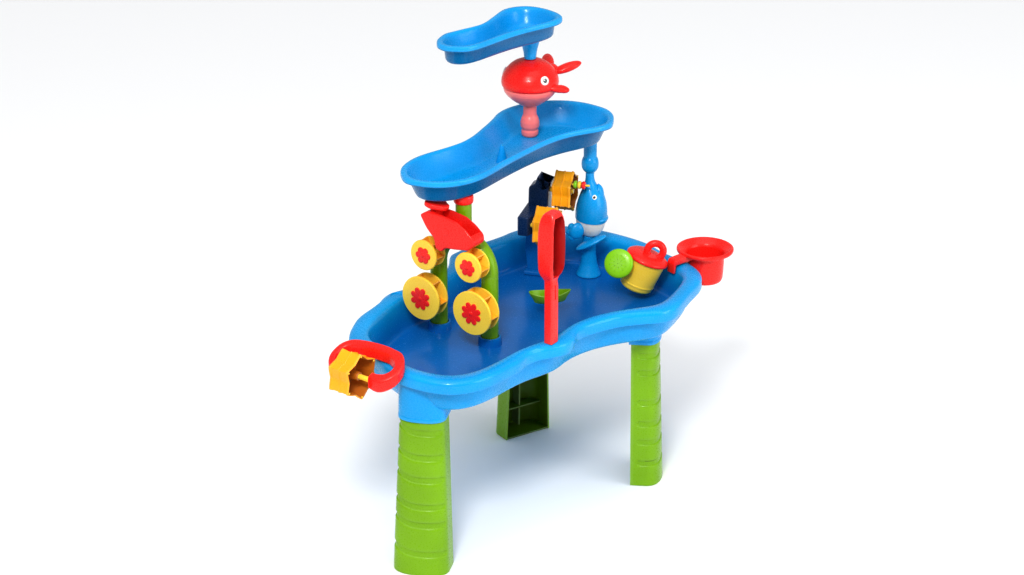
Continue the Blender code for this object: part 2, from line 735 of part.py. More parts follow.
def oval_ring(back, front, half_width, z):
    """An egg-shaped level of the whale's head, from its back to its front."""
    return [((back + front) / 2 + (front - back) / 2 * math.cos(2 * math.pi * i / FACETS),
             half_width * math.sin(2 * math.pi * i / FACETS), z) for i in range(FACETS)]


HEAD_LEVELS = [
    (-25, 32, 29, 405), (-26, 33, 30, 428), (-24, 32, 28.5, 446), (-21, 29.5, 26, 458), (-17, 25, 22, 470),
    (-13, 17, 17.5, 480), (-9.5, 11, 12.5, 490), (-8, 8, 9.5, 500), (-8, 8, 8, 511),
]
BLUE_WHALE = solid("blue_whale_body", *loft([oval_ring(*level) for level in HEAD_LEVELS]), BLUE, TOWER_HERE)
add(BLUE_WHALE, blob("brow_blue_whale", (19, 0, 471), (7.5, 11, 17), TOWER_HERE, None, 0, -8))
add(BLUE_WHALE, blob("lip_blue_whale", (17, 0, 424), (18, 24, 8), TOWER_HERE, None, 0, 6))
mouth = TOWER_HERE @ Matrix.Translation(Vector((0, 0, 420.5)) * MM) @ Matrix.Rotation(math.radians(6), 4, "Y")
cut(BLUE_WHALE, prism("mouth_blue_whale", [(-90, -60), (90, -60), (90, 60), (-90, 60)], -60, GAP / 2, None, mouth))
BELLY = lathe("blue_whale_belly", [
    (0, 440), (27, 440), (28, 424), (27, 414), (24, 403), (19, 394.5), (14, 389), (0, 389),
], WHITE, TOWER_HERE @ Matrix.Translation(Vector((3, 0, 0)) * MM), 18)
cut(BELLY, prism("mouth_belly", [(-90, -60), (90, -60), (90, 60), (-90, 60)], -GAP / 2, 60, None, mouth))
PEDESTAL = lathe("whale_pedestal", [
    (13, 389 - GAP), (12, 380), (14, 350), (20, 318), (22, 309), (22, BASIN_FLOOR + GAP), (0, BASIN_FLOOR + GAP),
    (0, 389 - GAP),
], BLUE, TOWER_HERE)

for label, sign in (("near", -1), ("far", 1)):
    x, y, z = tower(13, sign * 19.5, 470)
    eye("blue_eye_" + label, BLUE_WHALE, (x, y, z), (5, y, 9), 4.6, TOWER_HERE)

fin_cut = lathe("clear_belly", [
    (0, 441), (27.4, 441), (28.4, 424), (27.4, 413.8), (24.4, 402.7), (19.4, 394.1), (14.4, 388), (0, 388),
], None, TOWER_HERE @ Matrix.Translation(Vector((3, 0, 0)) * MM), 18)
FIN = blob("blue_whale_flipper", tower(-19, -27, 403), (15, 7.5, 18), TOWER_HERE, BLUE, 30 * S_SIGN, 20)
cut(FIN, fin_cut)
add(PEDESTAL, blob("leaf_pedestal", tower(8, -18, 380), (31, 13, 6), TOWER_HERE, None, 15 * S_SIGN, -26))
cut(PEDESTAL, fin_cut)

# The dark tail stands behind, and carries the two star wheels on pins.
tail_side = [
    (-110, 309), (-76, 309), (-70, 360), (-73, 440), (-73, 470), (-67, 495), (-76, 482), (-84, 479),
    (-92, 503), (-98, 486), (-109, 480), (-110, 440), (-116, 360),
]
TAIL_HERE = TOWER_HERE @ Matrix.Rotation(math.radians(90), 4, "X")
TAIL_SIGN = (TAIL_HERE.to_3x3() @ Vector((0, 1, 0))).z
TAIL = prism("tower_tail", [(t, z * TAIL_SIGN) for t, z in tail_side], -8, 25, NAVY, TAIL_HERE)
arm_outline = [tower(t, s, 0)[:2] for t, s in ((-112, 0), (-112, -96), (-92, -96), (-82, -70), (-82, 0))]
add(TAIL, prism("arm_tower_tail", arm_outline, 412, 448, None, TOWER_HERE))
foot_outline = [tower(t, s, 0)[:2] for t, s in ((-116, -34), (-116, -4), (-66, -4), (-66, -34))]
add(TAIL, prism("foot_tower_tail", foot_outline, 309, 316, None, TOWER_HERE))
cut(TAIL, prism("floor_tower_tail", [(-150, -120), (-30, -120), (-30, 80), (-150, 80)], 300, BASIN_FLOOR + GAP, None, TOWER_HERE))


def star_outline(radius, valley, z, count=24):
    points = []
    for i in range(count):
        phase = (i * 6 / count) % 1.0
        share = abs(phase - 0.5) * 2
        r = valley + (radius - valley) * share ** 1.4
        points.append((*on_line(360 * i / count, r), z))
    return points


def star_wheel(name, matrix, radius, valley, length, colour):
    """A star-shaped drum, open at one end, with a hub that turns on a pin."""
    def ring(r, v, z):
        return star_outline(r, v, z)

    def round_ring(r, z):
        return [(*on_line(360 * i / 24, r), z) for i in range(24)]

    half = length / 2
    rings = [
        ring(radius, valley, -half), ring(radius, valley, half), ring(radius - 3, valley - 3, half),
        ring(radius - 3, valley - 3, -half + 3), round_ring(8, -half + 3), round_ring(8, half - 5),
        round_ring(AXLE + 0.4, half - 5), round_ring(AXLE + 0.4, -half),
    ]
    return solid(name, *loft(rings, True), colour, matrix)


def star_frame(spot, axis):
    return frame(spot, axis, (0, 0, 1))


def tower_point(t, s, z):
    p = TOWER_HERE @ (Vector(tower(t, s, z)) * MM)
    return p / MM


FACING3 = (*FACING, 0)
for label, spot, long, back in (
    ("upper", UPPER_STAR, UPPER_STAR_LENGTH, -37.0), ("lower", LOWER_STAR, LOWER_STAR_LENGTH, -34.0),
):
    here = star_frame(tower_point(*spot), FACING3)
    star_wheel(label + "_star_wheel", here, STAR_RADIUS, STAR_VALLEY, long, ORANGE)
    rod(label + "_star_pin", AXLE, back, long / 2 - 1, YELLOW, here, 12)
    cut(TAIL, rod("pocket_" + label + "_star", AXLE + GAP, back - 0.4, 0, None, here, 12))

BEAD_HERE = star_frame(tower_point(-12, -31, 496), FACING3)
for i, colour in enumerate((GREEN, YELLOW, RED)):
    low = -11 + i * 7.5
    lathe(f"bead_{i + 1}", [
        (4.5, low + 7.2), (7, low + 5), (7, low + 2.2), (4.5, low), (2.5, low), (2.5, low + 7.2),
    ], colour, BEAD_HERE, 10)
tube("bead_rail", [(0, 0, -14), (0, 0, 14), (0, 0, 19)], 2.0, YELLOW, BEAD_HERE, 2)


# ---- outlet wheel on the rim ---------------------------------------------------------------------

AXIS3 = (*OUTLET_AXIS, 0)
OUTLET_HERE = star_frame(OUTLET_CENTRE, AXIS3)
radius, valley, length = OUTLET_STAR
star_wheel("outlet_star_wheel", OUTLET_HERE, radius, valley, length, ORANGE)


def outlet(t, q, z):
    """Table point from distances along the axle, out from the rim, and height."""
    n = Vector((OUTLET_AXIS[1], -OUTLET_AXIS[0]))
    spot = Vector(OUTLET_CENTRE[:2]) + Vector(OUTLET_AXIS) * t + n * q
    return (spot.x, spot.y, z)


YOKE_LOW = 346.0
YOKE_HIGH = 368.0
YOKE_BAND = 12.5
YOKE_RISE = 0.46
YOKE_PATH = [
    (-30, 0), (-39, 0), (-48, -5), (-53, -17), (-50, -34), (-38, -45), (-18, -50), (0, -52),
    (20, -53), (42, -52), (62, -46), (74, -33), (75, -16), (66, -3), (54, 1), (40, 0),
]


def ribbon(path, width):
    """The outline of a band of even width along a plan path."""
    left = []
    right = []
    for i, here in enumerate(path):
        before = Vector(path[max(i - 1, 0)])
        after = Vector(path[min(i + 1, len(path) - 1)])
        along = (after - before).normalized()
        across = Vector((-along.y, along.x)) * width / 2
        left.append(Vector(here) + across)
        right.append(Vector(here) - across)
    return left + right[::-1]


yoke_rings = []
for height in (YOKE_LOW, YOKE_HIGH):
    yoke_rings.append([outlet(t, q, height - YOKE_RISE * q) for t, q in ribbon(YOKE_PATH, YOKE_BAND)])
YOKE = solid("outlet_yoke", *loft(yoke_rings), RED)
cut(YOKE, prism("clear_rim", inset(RIM, -0.6), 300, RIM_TOP + GAP))
cut(YOKE, rod("pocket_yoke", AXLE + GAP, -31, 41, None, OUTLET_HERE, 12))
rod("outlet_pin", AXLE, -30.6, 40.6, YELLOW, OUTLET_HERE, 12)

# ---- loose pieces --------------------------------------------------------------------------------

CUP_SPOT = (357.3, -119.3)
CUP_HERE = frame((*CUP_SPOT, 0))
CUP = lathe("cup", [
    (0, 386), (49, 386), (52, 384), (52, 379.5), (40, 377), (35.5, 372), (34.5, 340), (32.5, 325), (29, 322),
    (0, 322),
], RED, CUP_HERE, 22)
tongue = [(-81.5, 376), (-81.5, 356), (-77.4, 356), (-75.6, 371), (-30, 371), (-30, 384), (-77.6, 382)]
tongue_rings = [[(x, y, z) for x, z in tongue] for y in (-5, 13)]
add(CUP, solid("tongue_cup", *loft(tongue_rings), None, CUP_HERE))
cut(CUP, lathe("hollow_cup", [
    (0, 392), (48, 392), (48, 386), (40, 381.5), (33, 374), (32, 341), (30, 327), (27, 325), (0, 325),
], None, CUP_HERE, 22))

VIEW_RIGHT = (0.772, -0.636, 0.0)
CAN_LEAN = math.radians(20)
CAN_AXIS = (VIEW_RIGHT[0] * math.sin(CAN_LEAN), VIEW_RIGHT[1] * math.sin(CAN_LEAN), math.cos(CAN_LEAN))
CAN_HERE = frame((234.4, -83.1, 358.3), CAN_AXIS, VIEW_RIGHT)
CAN = lathe("watering_can", [
    (0, 27), (35, 27), (33.5, 10), (31, -20), (30, -28), (27, -31), (0, -31),
], YELLOW, CAN_HERE, 18)
cut(CAN, lathe("hollow_can", [(0, 40), (32, 40), (31.5, 10), (28.5, -20), (25, -28), (0, -28)], None, CAN_HERE, 18))
LID = lathe("watering_can_lid", [
    (0, 40), (20, 39.5), (34, 36), (39, 31), (39, 27 + GAP), (0, 27 + GAP),
], RED, CAN_HERE, 18)
loop_rings = []
for i in range(14):
    a = 2 * math.pi * i / 14
    ring = []
    for j in range(6):
        b = 2 * math.pi * j / 6
        r = 14.5 + 6.5 * math.cos(b)
        ring.append((8.5 + r * math.cos(a), 6.5 * math.sin(b), 47 + r * math.sin(a)))
    loop_rings.append(ring)
add(LID, solid("loop_lid", *loft(loop_rings, True), None, CAN_HERE))
ROSE_HERE = frame((183, -78, 387), (-0.76, -0.50, 0.42), (0, 0, 1))
ROSE = lathe("watering_can_rose", [
    (0, 5), (20, 5), (25, 3), (26.5, 0), (26.5, -3), (24, -5.5), (0, -5.5),
], GREEN, ROSE_HERE, 18)
CLEAR_CAN = lathe("clear_can", [
    (0, 27 + GAP), (35.3, 27 + GAP), (33.8, 10), (31.3, -20), (30.3, -28), (27.2, -31.3), (0, -31.3),
], None, CAN_HERE, 18)
cut(ROSE, CLEAR_CAN)
NECK = lathe("watering_can_neck", [
    (0, -5.5 - GAP), (24, -5.5 - GAP), (25, -8), (22, -11), (11, -22), (9, -48), (0, -48),
], YELLOW, ROSE_HERE, 18)
cut(NECK, CLEAR_CAN, lathe("clear_lid", [
    (0, 41), (20.2, 40), (34.3, 36.3), (39.3, 31.2), (39.3, 27), (0, 27),
], None, CAN_HERE, 18))

SHOVEL_OPEN = (0.267, -0.964, 0.0)
SHOVEL_HERE = frame((*SHOVEL_SPOT, 0), (0, 0, 1), SHOVEL_OPEN)


def rounded_box(x0, x1, half_y, z, corner):
    """A four-sided ring with its corners cut."""
    c = corner
    return [
        (x0 + c, -half_y, z), (x1 - c, -half_y, z), (x1, -half_y + c, z), (x1, half_y - c, z),
        (x1 - c, half_y, z), (x0 + c, half_y, z), (x0, half_y - c, z), (x0, -half_y + c, z),
    ]


SHOVEL_LEVELS = [
    (353, -6, 6, 6, 1.5), (368.3, -6, 6, 6, 1.5), (368.5, -8, 8, 10.5, 3), (470, -8, 8, 10.5, 3), (482, -9, 7, 10, 3),
    (492, -13, 11, 17, 5), (504, -16, 15, 20, 6), (550, -17, 16, 20.5, 6), (585, -15, 15, 19, 6),
    (598, -12, 13, 16, 5), (604, -7, 10, 12, 4),
]
SHOVEL = solid("shovel", *loft([rounded_box(x0, x1, y, z, c) for z, x0, x1, y, c in SHOVEL_LEVELS]), RED, SHOVEL_HERE)
SCOOP_LEVELS = [
    (489, 2, 40, 7, 3), (500, -11, 40, 15, 5), (550, -14, 40, 17.5, 5), (583, -12, 40, 16, 5), (596, -6, 40, 11, 4),
]
cut(SHOVEL, solid("hollow_shovel", *loft([rounded_box(x0, x1, y, z, c) for z, x0, x1, y, c in SCOOP_LEVELS]), None, SHOVEL_HERE))
cut(SHOVEL, prism("slit_shovel", [(6.5, -1.2), (12, -1.2), (12, 1.2), (6.5, 1.2)], 458, 474, None, SHOVEL_HERE))

BOAT_HERE = frame((50, -45, 337), (0, 0, 1), (0.87, -0.50, 0))


def hull(length, width, z, count=24):
    ring = []
    for i in range(count):
        a = 2 * math.pi * i / count
        c = math.cos(a)
        taper = 1 - 0.55 * max(c, 0) ** 2
        ring.append((length / 2 * c, width / 2 * math.sin(a) * taper, z + 5 * c * c * (z > 3)))
    return ring


BOAT = solid("boat", *loft([
    hull(46, 14, 0), hull(62, 26, 5), hull(76, 34, 17), hull(72, 29, 17), hull(58, 22, 6), hull(40, 10, 3),
]), GREEN, BOAT_HERE)
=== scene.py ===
"""Looks of the sand and water table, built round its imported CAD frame.

Lengths are millimetres in the table frame until a mesh is made; SHIFT then moves them to the
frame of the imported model, and MM turns them into metres.
"""
import math

import bmesh
import bpy
from mathutils import Matrix, Vector


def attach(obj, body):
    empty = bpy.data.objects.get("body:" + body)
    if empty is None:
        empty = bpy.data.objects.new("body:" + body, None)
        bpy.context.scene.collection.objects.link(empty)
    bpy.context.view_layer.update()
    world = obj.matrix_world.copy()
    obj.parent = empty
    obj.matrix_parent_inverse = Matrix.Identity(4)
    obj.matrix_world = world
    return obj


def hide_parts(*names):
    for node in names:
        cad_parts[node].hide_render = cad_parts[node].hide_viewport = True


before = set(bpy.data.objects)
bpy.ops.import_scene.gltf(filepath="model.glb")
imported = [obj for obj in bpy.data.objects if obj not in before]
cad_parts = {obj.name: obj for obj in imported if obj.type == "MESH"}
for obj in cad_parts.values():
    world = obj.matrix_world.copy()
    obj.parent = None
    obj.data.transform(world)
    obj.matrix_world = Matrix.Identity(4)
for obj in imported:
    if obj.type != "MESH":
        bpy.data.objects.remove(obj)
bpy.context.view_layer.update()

MM = 0.001
SHIFT = Vector((24.85, 27.44, 0.0))
UP = (0.0, 0.0, 1.0)
TURN = 2 * math.pi

# Basin and legs
RIM_OUTLINE = [
    (-366, -170), (-335, -236), (-275, -260), (-184, -245), (-143, -231), (-75, -243),
    (-25, -212), (45, -213), (90, -228), (150, -253), (228, -218), (293, -180),
    (318, -122), (316, -58), (323, 4), (300, 98), (255, 165), (184, 201),
    (123, 195), (60, 195), (8, 186), (-22, 155), (-60, 128), (-138, 113),
    (-185, 118), (-231, 93), (-281, 72), (-316, 47), (-353, 3), (-359, -66), (-370, -120),
]
BASIN_PROFILE = [
    (70, 303), (58, 303), (55, 300.2), (33, 300), (28.5, 301), (25.5, 303.6), (23.6, 307.5), (20.6, 318),
    (18.2, 329), (17, 338), (16.4, 346), (17.6, 350), (18.4, 360), (16, 362.2), (5, 362.4), (3.4, 361),
    (3, 346.6), (2.4, 345), (1.4, 344.4), (0.5, 345), (0, 346.4), (0, 359), (0.6, 362), (2.2, 364.8),
    (4.6, 366.8), (8, 368), (13, 368.3), (18.5, 368), (23, 367), (26.5, 365.2),
    (28.8, 362), (30.4, 356.5), (32.6, 343), (34.8, 326), (36.4, 317), (38.6, 312), (42, 309.6),
    (47, 308.6),
    (56, 308.5),
]
FLUTES = 17
FLUTE_DEPTH = 2.6
LEG_HEIGHT = 276.0
LEG_WALL = 3.0
LEG_FOOT = (97.0, 56.0)
LEG_TOP = (77.0, 49.0)
LEG_ARM = 27.0
TENON = (71.0, 45.6)
COLLAR = (81.5, 52.0)
# Middle of the open side at the foot, where the nose points, lean at the top, rise of the bands, and
# their places down the leg as shares of its height
LEGS = {
    "leg_front_left": ((-323.5, -161), (-0.783, -0.622), 20.0, 12.0, (0.07, 0.23, 0.375, 0.55, 0.67, 0.86)),
    "leg_front_right": ((161.5, -148), (0.700, -0.714), 4.0, 0.0, (0.08, 0.20, 0.41, 0.56, 0.69, 0.84)),
    "leg_rear": ((115, 93), (0.116, 0.993), 6.5, 0.0, (0.08, 0.22, 0.39, 0.55, 0.68, 0.85)),
}
BAND_HALF = 6.2
BAND_DEPTH = 2.0
SHOVEL_SPOT = (-101.0, -226.0)
SHOVEL_OPEN = (0.267, -0.964, 0.0)

# Arch, flower wheels and tipping bucket
ARCH_CENTRE = Vector((-117.0, -11.5))
ARCH_SIDE = Vector((0.257, -0.966))
ARCH_OUT = Vector((-0.966, -0.257))
ARCH_HALF = 55.0
ARCH_TUBE = 15.0
LIMB_TOP = 436.0
CROWN_Z = 440.0
POST_TOP = 559.5
WHEEL_REACH = 54.0
WHEEL_WIDTH = 29.0
LOWER_WHEEL = (40.0, 385.0)
UPPER_WHEEL = (27.5, 468.0)
TIPPER_REACH = 38.0
TIPPER_WIDTH = 34.0
TIPPER_PIVOT = (2.0, 524.0)

# Trays
DECK_ORIGIN = (-88.0, 24.0)
DECK_ANGLE = math.radians(13.0)
MID_RIM = 620.0
MID_BOTTOM = 575.0
MID_OUTLINE = [
    (-94, 62), (-35, 76), (73, 60), (175, 84), (247, 106), (320, 88), (366, 30), (366, -42),
    (333, -80), (292, -94), (223, -65), (162, -56), (61, -60), (-43, -69), (-104, -45),
    (-130, 5), (-122, 34),
]
TOP_RIM = 805.0
TOP_BOTTOM = 767.0
TOP_OUTLINE = [
    (47, 95), (82, 108), (116, 102), (165, 92), (208, 101), (263, 114), (300, 95), (309, 55),
    (295, 10), (267, -3), (234, 2), (192, 12), (146, 18), (82, 21), (50, 28), (30, 55), (32, 78),
]
COLUMN = (255.0, 50.0)
WHALE_TOP = 726.0
MOUTH_Z = 675.0

# Whale tower and star wheels
TOWER = (231.0, 57.0)
FACING = (0.584, -0.812)
ASIDE = (0.812, 0.584)
UPPER_STAR = (-45.0, -7.0, 473.0)
LOWER_STAR = (-59.0, -84.0, 431.0)
OUTLET_CENTRE = (-419.7, -94.5, 356.9)
OUTLET_AXIS = (0.225, -0.974)
AXLE = 4.5

# Loose pieces
CUP_SPOT = (357.3, -119.3)
VIEW_RIGHT = (0.772, -0.636, 0.0)
CAN_SPOT = (234.4, -83.1, 358.3)
CAN_LEAN = math.radians(20)
ROSE_SPOT = (183, -78, 387)
ROSE_FACING = (-0.76, -0.50, 0.42)
BOAT_SPOT = (50, -45, 337)

# Star wheels: tip radius, valley radius and, at the outlet, length
STAR_SIZE = (39.0, 30.0)
OUTLET_STAR = (41.0, 32.5, 42.0)
POOL_TOP = 362.5

# Camera, in metres
LENS = 87.9
SENSOR = 36.0
CAMERA_SPOT = (-2.56215, -3.11056, 2.133)
LOOK_AT = (0.02485, 0.02744, 0.3646)


# ---- materials ----

def node(tree, kind, **settings):
    made = tree.nodes.new(kind)
    for key, value in settings.items():
        setattr(made, key, value)
    return made


def noise(tree, source, scale, detail):
    made = node(tree, "ShaderNodeTexNoise")
    made.inputs["Scale"].default_value = scale
    made.inputs["Detail"].default_value = detail
    tree.links.new(source, made.inputs["Vector"])
    return made.outputs["Fac"]


def mapped(tree, source, low, high, to_low, to_high):
    made = node(tree, "ShaderNodeMapRange")
    for key, value in (("From Min", low), ("From Max", high), ("To Min", to_low), ("To Max", to_high)):
        made.inputs[key].default_value = value
    tree.links.new(source, made.inputs["Value"])
    return made.outputs["Result"]


def mixed(tree, factor, first, second):
    """Blends two colours; each may be a socket or a plain (r, g, b)."""
    made = node(tree, "ShaderNodeMix", data_type="RGBA")
    tree.links.new(factor, made.inputs["Factor"])
    for key, value in (("A", first), ("B", second)):
        socket = [s for s in made.inputs if s.name == key and s.type == "RGBA"][0]
        if isinstance(value, tuple):
            socket.default_value = (*value, 1.0)
        else:
            tree.links.new(value, socket)
    return [s for s in made.outputs if s.type == "RGBA"][0]


def scaled(colour, amount):
    return tuple(min(1.0, c * amount) for c in colour)


def moulded(name, colour, rough=0.26, painted_low_shade=None, painted_shade_span=(0.315, 0.362), coat=0.12):
    """Injection-moulded plastic: faint flow marks, a fine mould grain, paler sharp edges and soft gloss.
    Given a low colour, the colour turns to that one below the given span of heights: painted shade inside
    the basin, where it also stands in for the water's tint, and a less dark painted shade low on the tail."""
    made = bpy.data.materials.new(name)
    made.use_nodes = True
    tree = made.node_tree
    shader = tree.nodes["Principled BSDF"]
    spot = node(tree, "ShaderNodeTexCoord").outputs["Object"]
    flow = noise(tree, spot, 11.0, 3.0)
    speck = noise(tree, spot, 420.0, 2.0)
    grain = noise(tree, spot, 1500.0, 2.0)
    body = mixed(tree, mapped(tree, flow, 0.3, 0.7, 0.0, 1.0), scaled(colour, 0.9), scaled(colour, 1.06))
    # Painted shade: below the span of heights the colour blends into the darker low colour.
    if painted_low_shade:
        split = node(tree, "ShaderNodeSeparateXYZ")
        tree.links.new(spot, split.inputs["Vector"])
        depth = mapped(tree, split.outputs["Z"], painted_shade_span[0], painted_shade_span[1], 1.0, 0.0)
        body = mixed(tree, depth, body, mixed(tree, flow, scaled(painted_low_shade, 0.8), scaled(painted_low_shade, 1.25)))
    body = mixed(tree, mapped(tree, speck, 0.62, 0.8, 0.0, 0.10), body, scaled(colour, 1.5))
    # Sharp convex edges turn towards a paler tint.
    edge = node(tree, "ShaderNodeNewGeometry").outputs["Pointiness"]
    pale = tuple(c * 0.75 + 0.2 for c in colour)
    body = mixed(tree, mapped(tree, edge, 0.53, 0.62, 0.0, 0.35), body, pale)
    tree.links.new(body, shader.inputs["Base Color"])
    tree.links.new(mapped(tree, speck, 0.3, 0.7, rough * 0.8, rough * 1.3), shader.inputs["Roughness"])
    for key, value in (("Specular IOR Level", 0.32), ("Coat Weight", coat), ("Coat Roughness", 0.08)):
        shader.inputs[key].default_value = value
    normal = None
    for height, strength, distance in ((flow, 0.25, 0.0012), (grain, 0.10, 0.0002)):
        bump = node(tree, "ShaderNodeBump")
        bump.inputs["Strength"].default_value = strength
        bump.inputs["Distance"].default_value = distance
        tree.links.new(height, bump.inputs["Height"])
        if normal:
            tree.links.new(normal, bump.inputs["Normal"])
        normal = bump.outputs["Normal"]
    tree.links.new(normal, shader.inputs["Normal"])
    made.diffuse_color = (*colour, 1.0)
    return made


BLUE_RGB = (0.001, 0.33, 0.71)
LOOKS = {
    "blue": moulded("blue_plastic", BLUE_RGB),
    # Painted shade: the basin's floor and what stands on it turn darker blue low down, also standing in for
    # the water's tint.
    "pool": moulded("blue_basin_painted_shade_plastic", BLUE_RGB, 0.22, (0.001, 0.13, 0.42)),
    "green": moulded("green_plastic", (0.19, 0.385, 0.0), 0.30),
    # Painted shade: a dark green for the inside faces and ribs of the legs.
    "painted_shade_green": moulded("shaded_green_plastic", (0.075, 0.15, 0.0), 0.42, coat=0.0),
    "leaf": moulded("green_cap_plastic", (0.24, 0.55, 0.008), 0.30),
    "yellow": moulded("yellow_plastic", (1.0, 0.67, 0.07), 0.28),
    "amber": moulded("amber_plastic", (0.95, 0.42, 0.012), 0.30),
    # Painted shade: a brown orange for the faces inside the star drums.
    "painted_shade_orange": moulded("painted_shade_brown_orange_plastic", (0.48, 0.15, 0.012), 0.34),
    "red": moulded("red_plastic", (0.88, 0.02, 0.014), 0.28),
    # Painted shade: a darker red for the faces inside the shovel's scoop.
    "painted_shade_red": moulded("painted_shade_red_plastic", (0.45, 0.012, 0.012), 0.34),
    "pink": moulded("pink_plastic", (0.95, 0.22, 0.20), 0.32),
    "white": moulded("white_plastic", (0.86, 0.84, 0.80), 0.28),
    # Painted shadow: the blue whale's tail, lying in shade under the tray, is coloured navy, with a less
    # dark painted shade of blue low down.
    "navy": moulded("painted_tail_shadow_plastic", (0.006, 0.035, 0.12), 0.26, (0.001, 0.15, 0.45), (0.392, 0.398)),
    # Painted shade: a darker blue for the trays' outward and downward faces.
    "shade": moulded("tray_side_painted_shade_plastic", (0.001, 0.15, 0.35), 0.28),
    "black": moulded("black_plastic", (0.012, 0.012, 0.014), 0.16, coat=0.8),
}


# ---- mesh helpers ----

def frame_at(origin, z_dir=UP, x_dir=(1, 0, 0)):
    """The matrix, in millimetres, of a local frame whose Z points along z_dir."""
    z = Vector(z_dir).normalized()
    x = Vector(x_dir)
    x = (x - z * x.dot(z)).normalized()
    turn = Matrix((x, z.cross(x), z)).transposed().to_4x4()
    return Matrix.Translation(Vector(origin)) @ turn


def spin(axis, degrees):
    return Matrix.Rotation(math.radians(degrees), 4, axis)


def move(x, y, z):
    return Matrix.Translation((x, y, z))


def ring_round(radius, z, count=64, start=0.0):
    return [(radius * math.cos(start + TURN * i / count), radius * math.sin(start + TURN * i / count), z)
            for i in range(count)]


def polar(degrees, radius):
    a = math.radians(degrees)
    return (radius * math.cos(a), radius * math.sin(a))


def loft(rings, closed=False):
    """A skin over rings of equal count; the ends are capped unless it closes on itself."""
    count = len(rings[0])
    points = [tuple(p) for ring in rings for p in ring]
    faces = []
    for level in range(len(rings) if closed else len(rings) - 1):
        low = level * count
        high = ((level + 1) % len(rings)) * count
        for i in range(count):
            j = (i + 1) % count
            faces.append((low + i, low + j, high + j, high + i))
    if not closed:
        faces.append(tuple(reversed(range(count))))
        faces.append(tuple(range(len(points) - count, len(points))))
    return points, faces


def at_height(outline, z):
    return [(p[0], p[1], z) for p in outline]


def fillet(points, radius, steps=5, closed=True):
    """Rounds the corners of a 2D outline; radius is one number or one for each corner."""
    made = []
    count = len(points)
    for i, point in enumerate(points):
        here = Vector(point[:2])
        size = radius[i] if isinstance(radius, (list, tuple)) else radius
        if size <= 0 or (not closed and i in (0, count - 1)):
            made.append(tuple(here))
            continue
        before = Vector(points[i - 1][:2]) - here
        after = Vector(points[(i + 1) % count][:2]) - here
        if before.length < 1e-6 or after.length < 1e-6:
            made.append(tuple(here))
            continue
        reach = min(size, before.length * 0.48, after.length * 0.48)
        start = here + before.normalized() * reach
        end = here + after.normalized() * reach
        for k in range(steps + 1):
            t = k / steps
            made.append(tuple(start * (1 - t) ** 2 + here * 2 * t * (1 - t) + end * t * t))
    return made


def turned(profile, steps=72):
    """A turned solid from (radius, height) points; a profile that starts off the axis closes on itself."""
    rings = [ring_round(r, z, steps) for r, z in profile]
    return loft(rings, closed=profile[0][0] > 0)


def soft_turned(profile, radius=1.2, steps=72, rounding=4):
    closed = profile[0][0] > 0
    return turned(fillet(profile, radius, rounding, closed), steps)


def slab(outline, low, high, edge=0.8, rounding=3):
    """A flat plate with rounded rims."""
    rings = []
    loop = [Vector(p[:2]) for p in outline]
    if sum(a.cross(b) for a, b in zip(loop, loop[1:] + loop[:1])) < 0:
        loop.reverse()
    for k in range(rounding + 1):
        a = math.pi / 2 * k / rounding
        rings.append(at_height(shrunk(loop, edge * (1 - math.sin(a))), low + edge * (1 - math.cos(a))))
    for k in range(rounding + 1):
        a = math.pi / 2 * k / rounding
        rings.append(at_height(shrunk(loop, edge * (1 - math.cos(a))), high - edge * (1 - math.sin(a))))
    return loft(rings)


def shrunk(loop, distance):
    """A counter-clockwise loop moved inwards along its corner normals."""
    made = []
    for i, point in enumerate(loop):
        after = loop[(i + 1) % len(loop)]
        along = (Vector(after[:2]) - Vector(loop[i - 1][:2])).normalized()
        made.append(Vector(point[:2]) + Vector((-along.y, along.x)) * distance)
    return made


def ball(radii, rings=24, sides=40):
    made = []
    for i in range(rings + 1):
        a = math.pi * i / rings
        r = max(math.sin(a), 0.0)
        made.append([(radii[0] * r * math.cos(TURN * j / sides), radii[1] * r * math.sin(TURN * j / sides),
                      radii[2] * math.cos(a)) for j in range(sides)])
    return loft(made)


def smooth_path(points, steps, closed=False):
    """A Catmull-Rom curve through the points, which stay on it."""
    made = []
    total = len(points)
    last = total if closed else total - 1
    for i in range(last):
        if closed:
            near = [points[(i + k) % total] for k in (-1, 0, 1, 2)]
        else:
            near = [points[min(max(i + k, 0), total - 1)] for k in (-1, 0, 1, 2)]
        p0, p1, p2, p3 = (Vector(p) for p in near)
        for step in range(steps):
            t = step / steps
            b = (p2 - p0) * t
            c = (2 * p0 - 5 * p1 + 4 * p2 - p3) * t * t
            d = (3 * p1 - 3 * p2 + p3 - p0) * t ** 3
            made.append((2 * p1 + b + c + d) / 2)
    if not closed:
        made.append(Vector(points[-1]))
    return made


def smooth_loop(points, count):
    """The same closed curve as the CAD's, with its points evenly spaced."""
    loop = smooth_path(points, 24, True)
    lengths = [0.0]
    for i in range(len(loop)):
        lengths.append(lengths[-1] + (loop[(i + 1) % len(loop)] - loop[i]).length)
    made = []
    at = 0
    for k in range(count):
        want = lengths[-1] * k / count
        while lengths[at + 1] < want:
            at += 1
        share = (want - lengths[at]) / (lengths[at + 1] - lengths[at])
        made.append(loop[at].lerp(loop[(at + 1) % len(loop)], share))
    if sum(a.cross(b) for a, b in zip(made, made[1:] + made[:1])) < 0:
        made.reverse()
    return made


def inset(loop, distance, step=1.5):
    """Moves a counter-clockwise loop inwards in short steps, easing it so that it never folds."""
    points = [Vector(p) for p in loop]
    count = len(points)
    moves = max(1, round(abs(distance) / step))
    for _ in range(moves):
        moved = []
        for i in range(count):
            before = points[i - 1]
            after = points[(i + 1) % count]
            along = (after - before).normalized()
            eased = points[i] * 0.9 + (before + after) * 0.05 if abs(distance) > 4 else points[i]
            moved.append(eased + Vector((-along.y, along.x)) * distance / moves)
        points = moved
    return points


